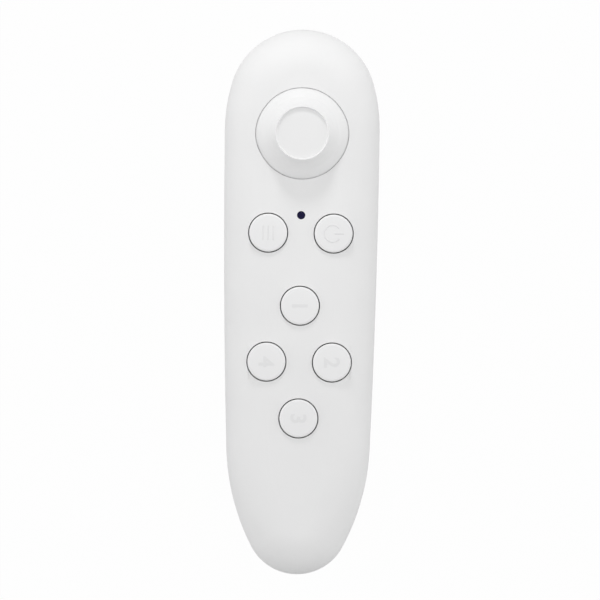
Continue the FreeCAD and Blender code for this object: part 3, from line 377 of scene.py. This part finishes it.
SENSOR_CASE = moulded_plastic("sensor_case", (0.03, 0.03, 0.032), (0.04, 0.04, 0.042), (0.1, 0.1, 0.1), 0.45)
SWITCH_CASE = moulded_plastic(
    "switch_case", (0.022, 0.022, 0.025), (0.032, 0.032, 0.034), (0.09, 0.09, 0.09), 0.5
)
CONNECTOR_CREAM = moulded_plastic(
    "connector_cream", (0.78, 0.72, 0.56), (0.72, 0.66, 0.5), (0.85, 0.8, 0.66), 0.4
)
LAMP_WHITE = moulded_plastic("lamp_white", (0.8, 0.8, 0.78), (0.76, 0.75, 0.7), (0.85, 0.85, 0.82), 0.35)
SLEEVE_GREY = moulded_plastic("sleeve_grey", (0.11, 0.13, 0.16), (0.09, 0.105, 0.13), (0.2, 0.21, 0.23), 0.3)
SLEEVE_PALE = moulded_plastic("sleeve_pale", (0.7, 0.71, 0.72), (0.64, 0.65, 0.67), (0.78, 0.78, 0.79), 0.3)

# Each metal has its tone, the tone of its stains and its roughness, and the screws have closer lines
GIMBAL_STEEL = sheet_metal("gimbal_steel", (0.6, 0.6, 0.58), (0.5, 0.49, 0.46), 0.34)
SCREW_STEEL = sheet_metal("screw_steel", (0.52, 0.52, 0.53), (0.4, 0.4, 0.41), 0.32, lines=420.0)
CONTACT_NICKEL = sheet_metal("contact_nickel", (0.68, 0.66, 0.61), (0.58, 0.55, 0.49), 0.24)
CELL_STEEL = sheet_metal("cell_steel", (0.72, 0.71, 0.69), (0.6, 0.59, 0.56), 0.22)

BOARD_LAMINATE = board_laminate()
RIBBON_FILM = ribbon_film()
LENS_WINDOW = lens_window()

FINISH_OF_SLOT = {
    "white_plastic": SHELL_WHITE,
    "button_plastic": KEY_WHITE,
    "stick_plastic": STICK_WHITE,
    "post_nylon": POST_NYLON,
    "dome_rubber": DOME_SILICONE,
    "circuit_board": BOARD_LAMINATE,
    "chip_black": CHIP_EPOXY,
    "sensor_black": SENSOR_CASE,
    "switch_black": SWITCH_CASE,
    "connector_cream": CONNECTOR_CREAM,
    "ribbon_film": RIBBON_FILM,
    "led_white": LAMP_WHITE,
    "lens_dark": LENS_WINDOW,
    "frame_steel": GIMBAL_STEEL,
    "screw_steel": SCREW_STEEL,
    "contact_metal": CONTACT_NICKEL,
    "cell_jacket": SLEEVE_GREY,
}


def finish_solids():
    """Give every solid the finish that its material slot calls for."""
    for part in frame["record"]["subparts"]:
        solid = NODES[part["node"]]
        solid.data.materials.clear()
        solid.data.materials.append(FINISH_OF_SLOT[part["material_slot"]])


finish_solids()


# Making of meshes, in millimetres, in the same place as the solids

def on_circle(radius, degrees):
    """A flat point on a circle, at an angle from its top."""
    angle = math.radians(degrees)
    return radius * math.sin(angle), radius * math.cos(angle)


def rounded(corners, steps=5):
    """A path of (x, y, radius) corners as points, with an arc at each corner that has a radius."""
    path = []
    for number, (x, y, radius) in enumerate(corners):
        here = Vector((x, y))
        if radius == 0 or number in (0, len(corners) - 1):
            path.append(here)
            continue
        before = (Vector(corners[number - 1][:2]) - here).normalized()
        after = (Vector(corners[number + 1][:2]) - here).normalized()
        half = before.angle(after) / 2
        centre = here + (before + after).normalized() * radius / math.sin(half)
        start = here + before * radius / math.tan(half) - centre
        end = here + after * radius / math.tan(half) - centre
        for step in range(steps + 1):
            path.append(centre + start.lerp(end, step / steps).normalized() * radius)
    return [tuple(point) for point in path]


def turned_mesh(name, profile, centre=(0, 0, 0), steps=96, along="z"):
    """A mesh turned from (radius, height) points; a point on the axis becomes a pole."""
    work = bmesh.new()
    rows = []
    for radius, height in profile:
        row = []
        for step in range(1 if radius == 0 else steps):
            angle = 2 * math.pi * step / steps
            across, up = radius * math.cos(angle), radius * math.sin(angle)
            point = (across, up, height) if along == "z" else (across, height, up)
            row.append(work.verts.new((Vector(point) + Vector(centre)) * MM))
        rows.append(row)
    for first, second in zip(rows, rows[1:]):
        for step in range(steps):
            ahead = (step + 1) % steps
            corners = [first[step % len(first)], first[ahead % len(first)],
                       second[ahead % len(second)], second[step % len(second)]]
            unique = list(dict.fromkeys(corners))
            if len(unique) > 2:
                work.faces.new(unique)
    bmesh.ops.recalc_face_normals(work, faces=work.faces)
    mesh = bpy.data.meshes.new(name)
    work.to_mesh(mesh)
    work.free()
    smooth(mesh)
    return mesh


def smooth(mesh, angle=32):
    """Shade a mesh smooth, apart from edges sharper than the angle in degrees."""
    mesh.polygons.foreach_set("use_smooth", [True] * len(mesh.polygons))
    mesh.set_sharp_from_angle(angle=math.radians(angle))


def piece(name, mesh, body, finishes, replaced=()):
    """Put a mesh on its body, with any finishes given, in place of the solids that it stands for."""
    made = linked(name, mesh)
    if finishes:
        mesh.materials.clear()
    for finish in finishes:
        mesh.materials.append(finish)
    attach(made, body)
    if replaced:
        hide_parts(*replaced)
    return made


def as_mesh(name, source):
    """The evaluated form of an object as a mesh of its own; the object itself is taken away."""
    graph = bpy.context.evaluated_depsgraph_get()
    graph.update()
    mesh = bpy.data.meshes.new_from_object(source.evaluated_get(graph), depsgraph=graph)
    mesh.name = name
    bpy.data.objects.remove(source, do_unlink=True)
    return mesh


def set_input(modifier, label, value):
    """Set a node modifier's input by the identifier behind its label."""
    for item in modifier.node_group.interface.items_tree:
        if item.item_type == "SOCKET" and item.in_out == "INPUT" and item.name == label:
            modifier[item.identifier] = value
            return
    raise KeyError(label)


# Thumb stick cap: a ball-shaped skirt in the opening, a cone above it, and a thumb pad in a raised ring

PIVOT = Vector((0.0, 40.4, 14.4))
SKIRT_RADIUS = 13.2
SKIRT_ANGLES = range(47, 75, 3)
PAD_RADIUS = 5.9
PAD_HEIGHT = 12.2
PAD_HOLLOW = 0.08
PAD_STEPS = 6
POST_HOLE_RADIUS = 1.36
POST_HOLE_TOP = 10.85
HUB_RADIUS = 3.0
HUB_FOOT = 7.7


def thumb_stick_cap():
    """The cap, with heights from the pivot: its outside from the pad to the skirt, then its hollow inside."""
    pad = []
    for step in range(PAD_STEPS):
        share = step / PAD_STEPS
        pad.append((PAD_RADIUS * step / PAD_STEPS, PAD_HEIGHT - PAD_HOLLOW * share ** 2))
    ring_and_cone = rounded([
        (5.93, 12.12, 0), (6.08, 12.15, 0.15), (6.27, 12.7, 0.12), (6.42, 12.7, 0.2), (7.5, 11.05, 3.0),
        (8.75, 9.68, 0.5), (*on_circle(SKIRT_RADIUS, SKIRT_ANGLES[0]), 0),
    ], steps=6)
    skirt = [on_circle(SKIRT_RADIUS, angle) for angle in SKIRT_ANGLES]
    hollow = rounded([
        (11.58, 3.32, 0), (8.0, 9.0, 0.8), (6.4, 10.0, 0.5), (HUB_RADIUS, 10.0, 0.4),
        (HUB_RADIUS, HUB_FOOT, 0.2), (POST_HOLE_RADIUS, HUB_FOOT, 0),
    ], steps=3)
    hole = [(POST_HOLE_RADIUS, POST_HOLE_TOP), (0, POST_HOLE_TOP)]
    profile = pad + ring_and_cone[:-1] + skirt + hollow + hole
    mesh = turned_mesh("thumb_stick_cap", profile, PIVOT, 160)
    piece("thumb_stick_cap", mesh, "stick", [STICK_WHITE], ["stick_cap"])


thumb_stick_cap()


# Push buttons: slightly crowned caps with a soft edge, each with a small raised marking and a rubber dome

CAP_RADIUS = 4.55
CAP_TOP = 22.9
CROWN = 0.13
FLANGE_RADIUS = 5.4
FLANGE_TOP = 19.0
FLANGE_FOOT = 18.2
DOME_TOP = 18.15
DOME_RADIUS = 3.0
DOME_MOUTH = 2.45
PILL_RADIUS = 1.3
PILL_FACE = 16.75
BOARD_FACE = 15.4
KEYS = {
    "mode": (-7.85, 16.5), "power": (7.85, 16.5), "top": (0.0, -0.9),
    "left": (-7.85, -14.4), "right": (7.85, -14.4), "bottom": (0.0, -27.9),
}
NUMBERS = {"top": "1", "right": "2", "bottom": "3", "left": "4"}
NUMBER_SIZE = 5.2
RING_RADIUS = 2.0
BAR_REACH = 1.7
BAR_PLACES = (-1.2, 0.0, 1.2)


def crown_height(across, along):
    """Height of a cap's crowned top at a distance from its middle."""
    return CAP_TOP - CROWN * (across * across + along * along) / (CAP_RADIUS * CAP_RADIUS)


def key_cap(key, x, y):
    """A button's cap with its crown, its soft edge and the flange that holds it in the housing."""
    crown = [(radius, crown_height(radius, 0)) for radius in (0.0, 0.9, 1.8, 2.7, 3.4)]
    edge = rounded([
        (3.7, crown_height(3.7, 0), 0), (CAP_RADIUS, CAP_TOP - CROWN, 0.5), (CAP_RADIUS, FLANGE_TOP, 0.12),
        (FLANGE_RADIUS, FLANGE_TOP, 0.15), (FLANGE_RADIUS, FLANGE_FOOT, 0.15), (4.4, FLANGE_FOOT, 0),
    ], steps=6)
    profile = crown + edge + [(3.4, FLANGE_FOOT), (0.0, FLANGE_FOOT)]
    mesh = turned_mesh(f"key_cap_{key}", profile, (x, y, 0), 96)
    piece(f"key_cap_{key}", mesh, f"button_{key}", [KEY_WHITE], [f"button_{key}"])


def rubber_dome(key, x, y):
    """A silicone dome with a thin wall and a contact pill, held on the housing."""
    outside = rounded([
        (0.0, DOME_TOP, 0), (1.9, DOME_TOP, 0.25), (2.2, 17.2, 0.5), (2.62, 16.0, 0.3),
        (DOME_RADIUS, 15.85, 0.12), (DOME_RADIUS, BOARD_FACE, 0.08), (DOME_MOUTH, BOARD_FACE, 0),
    ], steps=4)
    inside = rounded([
        (DOME_MOUTH, BOARD_FACE, 0), (2.2, 15.9, 0.2), (1.75, 17.1, 0.2), (PILL_RADIUS, 17.1, 0.1),
        (PILL_RADIUS, PILL_FACE, 0.08), (0.0, PILL_FACE, 0),
    ], steps=3)
    mesh = turned_mesh(f"rubber_dome_{key}", outside + inside[1:], (x, y, 0), 48)
    dome = piece(f"rubber_dome_{key}", mesh, "housing", [DOME_SILICONE], [f"dome_{key}"])
    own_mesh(dome)


def settle_on_cap(mesh, x, y, flatten):
    """Turn a marking a quarter turn to the right and lay it on a cap's crown, its height cut to a share."""
    across = [corner.co.x for corner in mesh.vertices]
    along = [corner.co.y for corner in mesh.vertices]
    middle = Vector(((min(across) + max(across)) / 2, (min(along) + max(along)) / 2))
    for corner in mesh.vertices:
        flat = Vector((corner.co.y - middle.y, -(corner.co.x - middle.x)))
        height = crown_height(flat.x, flat.y) + flatten * corner.co.z
        corner.co = Vector((x + flat.x, y + flat.y, height)) * MM


def marking(key, outline, flatten, angle):
    """Lay a letter or curve on its button's cap as a low raised marking."""
    mesh = as_mesh(f"marking_{key}", linked(f"marking_{key}", outline))
    settle_on_cap(mesh, *KEYS[key], flatten)
    smooth(mesh, angle)
    # Its finish is the key plastic painted darker, as painted shade along the raised strokes
    piece(f"marking_{key}", mesh, f"button_{key}", [MARKING_SHADE_WHITE])


def number_marking(key):
    """A plain number on one of the diamond's buttons."""
    text = bpy.data.curves.new(f"marking_{key}", "FONT")
    text.body = NUMBERS[key]
    text.size = NUMBER_SIZE
    text.extrude = 0.6
    text.bevel_depth = 0.12
    text.bevel_resolution = 2
    marking(key, text, flatten=0.07, angle=50)


def stroke_marking(key, strokes, width=0.42):
    """A marking of rounded strokes, each a list of flat points."""
    curve = bpy.data.curves.new(f"marking_{key}", "CURVE")
    curve.dimensions = "3D"
    curve.bevel_depth = width / 2
    curve.bevel_resolution = 3
    curve.use_fill_caps = True
    for points in strokes:
        spline = curve.splines.new("POLY")
        spline.points.add(len(points) - 1)
        for point, (across, along) in zip(spline.points, points):
            point.co = (across, along, 0.0, 1.0)
    marking(key, curve, flatten=0.35, angle=60)


for key, (x, y) in KEYS.items():
    key_cap(key, x, y)
    rubber_dome(key, x, y)
for key in NUMBERS:
    number_marking(key)
OPEN_RING = [on_circle(RING_RADIUS, degrees) for degrees in range(40, 325, 8)]
stroke_marking("power", [OPEN_RING, [(0.0, 0.5), (0.0, 2.7)]])
stroke_marking("mode", [[(-BAR_REACH, along), (BAR_REACH, along)] for along in BAR_PLACES])


# Screws with a cross recess and a ringed shank, set by one tree on the points of their seats

SHANK_RADIUS = 0.72
THREAD_RADIUS = 0.9
THREAD_PITCH = 0.5
THREAD_TURNS = 14
TIP_START = 7.5
TIP_END = 8.0
# Width, thickness and height of a recess blade in a screw's head, at its mouth and at its bottom
RECESS_MOUTH = (1.9, 0.36, -1.5)
RECESS_BOTTOM = (0.8, 0.24, -0.35)
CASE_SCREW_SEATS = [(-12.0, 27.0, 2.6), (12.0, 27.0, 2.6), (0.0, -53.4, 3.4)]
BOARD_SCREW_SEATS = [(side * 10.6, y, 8.6) for side in (-1, 1) for y in (33.8, 50.6)]
BOARD_SCREW_SCALE = 0.72
FULL_TURN = 6.28


def recess_blades():
    """Two crossed blades that taper into a screw's head and are cut out of it."""
    mesh = bpy.data.meshes.new("recess")
    work = bmesh.new()
    for turn in (0, 90):
        turned = Matrix.Rotation(math.radians(turn), 4, "Z")
        for corner in bmesh.ops.create_cube(work, size=1.0)["verts"]:
            width, thickness, height = RECESS_MOUTH if corner.co.z < 0 else RECESS_BOTTOM
            spot = Vector((corner.co.x * width, corner.co.y * thickness, height))
            corner.co = (turned @ spot) * MM
    work.to_mesh(mesh)
    work.free()
    return linked("recess", mesh)


def screw_form():
    """One screw, its seat at the origin, its head downwards."""
    head = rounded([
        (0.0, -1.2, 0), (1.2, -1.2, 0.2), (1.7, -0.75, 0.35), (1.7, -0.02, 0.1), (0.92, 0.0, 0),
    ], steps=4)
    thread = [(SHANK_RADIUS, 0.0)]
    for turn in range(THREAD_TURNS):
        for radius, rise in ((SHANK_RADIUS, 0.18), (THREAD_RADIUS, 0.36), (SHANK_RADIUS, 0.54)):
            thread.append((radius, rise + THREAD_PITCH * turn))
    tip = [(SHANK_RADIUS, TIP_START), (0.3, TIP_END), (0.0, TIP_END)]
    solid = linked("screw_form", turned_mesh("screw_form", head + thread + tip, steps=32))
    cutter = recess_blades()
    cut = solid.modifiers.new("recess", "BOOLEAN")
    cut.operation = "DIFFERENCE"
    cut.solver = "EXACT"
    cut.use_self = True
    cut.object = cutter
    mesh = as_mesh("screw_form", solid)
    bpy.data.objects.remove(cutter, do_unlink=True)
    smooth(mesh, 35)
    return linked("screw_form", mesh)


def setting_tree(name, finish):
    """A tree that sets one form on every point, each turned by its own angle."""
    tree = bpy.data.node_groups.new(name, "GeometryNodeTree")
    tree.interface.new_socket(name="Geometry", in_out="INPUT", socket_type="NodeSocketGeometry")
    tree.interface.new_socket(name="Form", in_out="INPUT", socket_type="NodeSocketObject")
    for label, default in (("Size", 1.0), ("Most Turn", FULL_TURN)):
        socket = tree.interface.new_socket(name=label, in_out="INPUT", socket_type="NodeSocketFloat")
        socket.default_value = default
    tree.interface.new_socket(name="Seed", in_out="INPUT", socket_type="NodeSocketInt")
    tree.interface.new_socket(name="Geometry", in_out="OUTPUT", socket_type="NodeSocketGeometry")
    given = tree.nodes.new("NodeGroupInput")
    result = tree.nodes.new("NodeGroupOutput")
    form = tree.nodes.new("GeometryNodeObjectInfo")
    turn = tree.nodes.new("FunctionNodeRandomValue")
    turn.data_type = "FLOAT"
    combine = tree.nodes.new("ShaderNodeCombineXYZ")
    setting = tree.nodes.new("GeometryNodeInstanceOnPoints")
    real = tree.nodes.new("GeometryNodeRealizeInstances")
    coat = tree.nodes.new("GeometryNodeSetMaterial")
    coat.inputs["Material"].default_value = finish
    links = tree.links
    links.new(given.outputs["Form"], form.inputs["Object"])
    # The random value's sockets share their names: input 3 is the highest number, output 1 the number
    links.new(given.outputs["Most Turn"], turn.inputs[3])
    links.new(given.outputs["Seed"], turn.inputs["Seed"])
    links.new(turn.outputs[1], combine.inputs["Z"])
    links.new(given.outputs["Geometry"], setting.inputs["Points"])
    links.new(form.outputs["Geometry"], setting.inputs["Instance"])
    links.new(combine.outputs["Vector"], setting.inputs["Rotation"])
    links.new(given.outputs["Size"], setting.inputs["Scale"])
    links.new(setting.outputs["Instances"], real.inputs["Geometry"])
    links.new(real.outputs["Geometry"], coat.inputs["Geometry"])
    links.new(coat.outputs["Geometry"], result.inputs["Geometry"])
    return tree


def set_on_points(name, points, form, finish, seed, size=1.0, most_turn=FULL_TURN):
    """The mesh that a setting tree makes of a form on a list of points."""
    seats = bpy.data.meshes.new(name)
    seats.from_pydata([Vector(point) * MM for point in points], [], [])
    holder = linked(name, seats)
    modifier = holder.modifiers.new("setting", "NODES")
    modifier.node_group = setting_tree(name, finish)
    set_input(modifier, "Form", form)
    set_input(modifier, "Size", size)
    set_input(modifier, "Most Turn", most_turn)
    set_input(modifier, "Seed", seed)
    return as_mesh(name, holder)


def screws():
    """The three case screws from the back, and four smaller ones turned over onto the stick board."""
    form = screw_form()
    mesh = set_on_points("case_screws", CASE_SCREW_SEATS, form, SCREW_STEEL, seed=4)
    piece("case_screws", mesh, "housing", [], ["housing_screws"])
    turned_over = linked("small_screw_form", form.data.copy())
    scale = BOARD_SCREW_SCALE
    turned_over.data.transform(Matrix.Diagonal((scale, -scale, -scale, 1.0)))
    mesh = set_on_points("board_screws", BOARD_SCREW_SEATS, turned_over, SCREW_STEEL, seed=9)
    piece("board_screws", mesh, "housing", [])
    for used in (form, turned_over):
        bpy.data.objects.remove(used, do_unlink=True)


screws()


# Solder joints on the button board's face: two rows over its connector, and one row near each side button

SOLDER_FOOT = 15.38
CONNECTOR_LEGS = [(-3.5 + step, y) for step in range(8) for y in (22.0, 23.4)]
SIDE_ROW_JOINTS = [(side * 6.0, -6.0 - 2.0 * step) for side in (-1, 1) for step in range(5)]


def solder_joints():
    """A small cone-shaped fillet of solder on each leg."""
    fillet = rounded([
        (0.0, 0.42, 0), (0.16, 0.42, 0.05), (0.2, 0.2, 0.2), (0.42, 0.0, 0), (0.0, 0.0, 0),
    ], steps=3)
    form = linked("solder_form", turned_mesh("solder_form", fillet, steps=16))
    places = [(x, y, SOLDER_FOOT) for x, y in CONNECTOR_LEGS + SIDE_ROW_JOINTS]
    mesh = set_on_points("solder_joints", places, form, CONTACT_NICKEL, seed=2)
    bpy.data.objects.remove(form, do_unlink=True)
    piece("solder_joints", mesh, "housing", [])


solder_joints()


# Cells: a steel can in a shrunk sleeve with one pale band at the positive end, and plain marks

CELL_HEIGHT = 7.25
CELL_RADIUS = 5.25
CELL_OFFSET = 5.6
# The sleeve leaves the steel bare inside this radius and below this height
BARE_RADIUS = 4.6
BARE_FOOT = 0.85
# How far from the positive end the pale band starts, in a narrow step with the change of colour in its middle
BAND_STEP = (9.5, 9.4)
BAND_START = 9.45
MARK_SIZE = 5.0
MARK_REACH = 5.4


def cell(name, node_name, x, positive):
    """A cell whose positive end is the head end where positive is 1, and the tail end where it is -1."""
    low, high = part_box(node_name)
    length = (high.y - low.y) / MM
    negative_end = low.y / MM if positive > 0 else high.y / MM
    shoulder, cover = length - 1.2, length - 0.9
    profile = rounded([
        (0.0, 0.0, 0), (3.6, 0.0, 0.15), (3.9, 0.25, 0.1), (4.9, 0.25, 0.2), (5.02, 0.9, 0.05),
        (CELL_RADIUS, 0.9, 0.15), *((CELL_RADIUS, length - reach, 0) for reach in BAND_STEP),
        (CELL_RADIUS, shoulder, 0.35), (4.5, shoulder, 0.1), (4.2, cover, 0.1),
        (1.9, cover, 0.12), (1.9, length, 0.3), (0.0, length, 0),
    ], steps=3)
    points = [(radius, positive * up) for radius, up in profile]
    mesh = turned_mesh(name, points, (x, negative_end, CELL_HEIGHT), 64, "y")
    for finish in (SLEEVE_GREY, SLEEVE_PALE, CELL_STEEL):
        mesh.materials.append(finish)
    for face in mesh.polygons:
        centre = face.center / MM
        up = positive * (centre.y - negative_end)
        out = math.hypot(centre.x - x, centre.z - CELL_HEIGHT)
        if out < BARE_RADIUS or up < BARE_FOOT:
            face.material_index = 2
        elif up > length - BAND_START:
            face.material_index = 1
    piece(name, mesh, "housing", [], [node_name])
    for word, label, up in (("plus", "+", length - MARK_REACH), ("minus", "-", MARK_REACH)):
        sleeve_mark(f"{name}_{word}", label, x, negative_end + positive * up)


def sleeve_mark(name, label, x, y):
    """A plain mark printed on the sleeve's lower side, wrapped round it."""
    text = bpy.data.curves.new(name, "FONT")
    text.body = label
    text.size = MARK_SIZE
    text.align_x = "CENTER"
    text.align_y = "CENTER"
    text.extrude = 0.02
    mesh = as_mesh(name, linked(name, text))
    work = bmesh.new()
    work.from_mesh(mesh)
    bmesh.ops.remove_doubles(work, verts=work.verts, dist=0.0001)
    bmesh.ops.subdivide_edges(work, edges=work.edges, cuts=3, use_grid_fill=True)
    work.to_mesh(mesh)
    work.free()
    for corner in mesh.vertices:
        angle = corner.co.x / CELL_RADIUS
        reach = CELL_RADIUS + 0.01 + corner.co.z
        across, down = reach * math.sin(angle), reach * math.cos(angle)
        corner.co = Vector((x - across, y + corner.co.y, CELL_HEIGHT - down)) * MM
    smooth(mesh, 40)
    piece(name, mesh, "housing", [SLEEVE_PALE if label == "-" else SLEEVE_GREY])


cell("cell_of_left_side", "cell_left", -CELL_OFFSET, 1)
cell("cell_of_right_side", "cell_right", CELL_OFFSET, -1)


# Pale floor and soft studio light

# Strength of the world from above and below, what its two sides add and what its two ends take away
WORLD_LIGHT = 0.79
SIDE_LIGHT = 0.86
END_SHADE = 0.7
# Share of plain white in what the camera sees of the floor; the rest is its own surface with the shadows
FLOOR_GLOW = 0.98
FLOOR_REACH = 2.5


def seen_as_backdrop(tree):
    """1 where the camera, a reflection or clear plastic looks, and 0 for the light on the object."""
    ray = tree.nodes.new("ShaderNodeLightPath")
    indirect = maths(tree, "MAXIMUM", ray.outputs["Is Glossy Ray"], ray.outputs["Is Transmission Ray"])
    return maths(tree, "MAXIMUM", ray.outputs["Is Camera Ray"], indirect)


def squared(tree, number):
    """The square of a number that may be below zero."""
    return maths(tree, "POWER", maths(tree, "ABSOLUTE", number), 2.0)


def studio_world():
    """A white backdrop whose light on the object is stronger from the sides and weaker from the ends."""
    world = bpy.data.worlds.new("studio")
    bpy.context.scene.world = world
    world.use_nodes = True
    tree = world.node_tree
    tree.nodes.clear()
    seen = seen_as_backdrop(tree)
    where = node(tree, "TexCoord")
    axes = node(tree, "SeparateXYZ")
    tree.links.new(where.outputs["Generated"], axes.inputs["Vector"])
    from_sides = maths(tree, "MULTIPLY", squared(tree, axes.outputs["X"]), SIDE_LIGHT)
    from_ends = maths(tree, "MULTIPLY", squared(tree, axes.outputs["Y"]), END_SHADE)
    soft = maths(tree, "ADD", WORLD_LIGHT, maths(tree, "SUBTRACT", from_sides, from_ends))
    unseen = maths(tree, "SUBTRACT", 1.0, seen)
    strength = maths(tree, "ADD", seen, maths(tree, "MULTIPLY", unseen, soft))
    background = tree.nodes.new("ShaderNodeBackground")
    background.inputs["Color"].default_value = (1.0, 1.0, 1.0, 1.0)
    output = tree.nodes.new("ShaderNodeOutputWorld")
    tree.links.new(strength, background.inputs["Strength"])
    tree.links.new(background.outputs["Background"], output.inputs["Surface"])


def floor_finish():
    """Matt white board that shows white to the camera and still takes the object's shadow."""
    material, tree, shader = blank("studio_floor")
    fibre = use(tree, SPARK_GRAIN, Grains_per_Metre=900.0, Patches_per_Metre=6.0)
    paint(tree, shader, colour_mix(tree, fibre["Drift"], (0.52, 0.52, 0.52), (0.5, 0.5, 0.5)))
    shader.inputs["Roughness"].default_value = 0.9
    seen = seen_as_backdrop(tree)
    glow = node(tree, "Emission", Strength=1.0)
    mix = tree.nodes.new("ShaderNodeMixShader")
    tree.links.new(maths(tree, "MULTIPLY", seen, FLOOR_GLOW), mix.inputs["Fac"])
    tree.links.new(shader.outputs["BSDF"], mix.inputs[1])
    tree.links.new(glow.outputs["Emission"], mix.inputs[2])
    output = next(item for item in tree.nodes if item.bl_idname == "ShaderNodeOutputMaterial")
    tree.links.new(mix.outputs["Shader"], output.inputs["Surface"])
    return material


def floor():
    """A wide level board under the object."""
    work = bmesh.new()
    bmesh.ops.create_grid(work, x_segments=8, y_segments=8, size=FLOOR_REACH)
    mesh = bpy.data.meshes.new("floor")
    work.to_mesh(mesh)
    work.free()
    mesh.materials.append(floor_finish())
    linked("floor", mesh)


def soft_lamp(name, place, aim, width, power):
    """A round soft lamp at a place, turned towards its aim."""
    data = bpy.data.lights.new(name, "AREA")
    data.shape = "DISK"
    data.size = width
    data.energy = power
    lamp = linked(name, data)
    lamp.location = place
    lamp.rotation_euler = (Vector(aim) - Vector(place)).to_track_quat("-Z", "Y").to_euler()


studio_world()
floor()
soft_lamp("head_softbox", place=(-0.02, 0.275, 0.14), aim=(0.0, -0.01, 0.01), width=0.05, power=0.215)
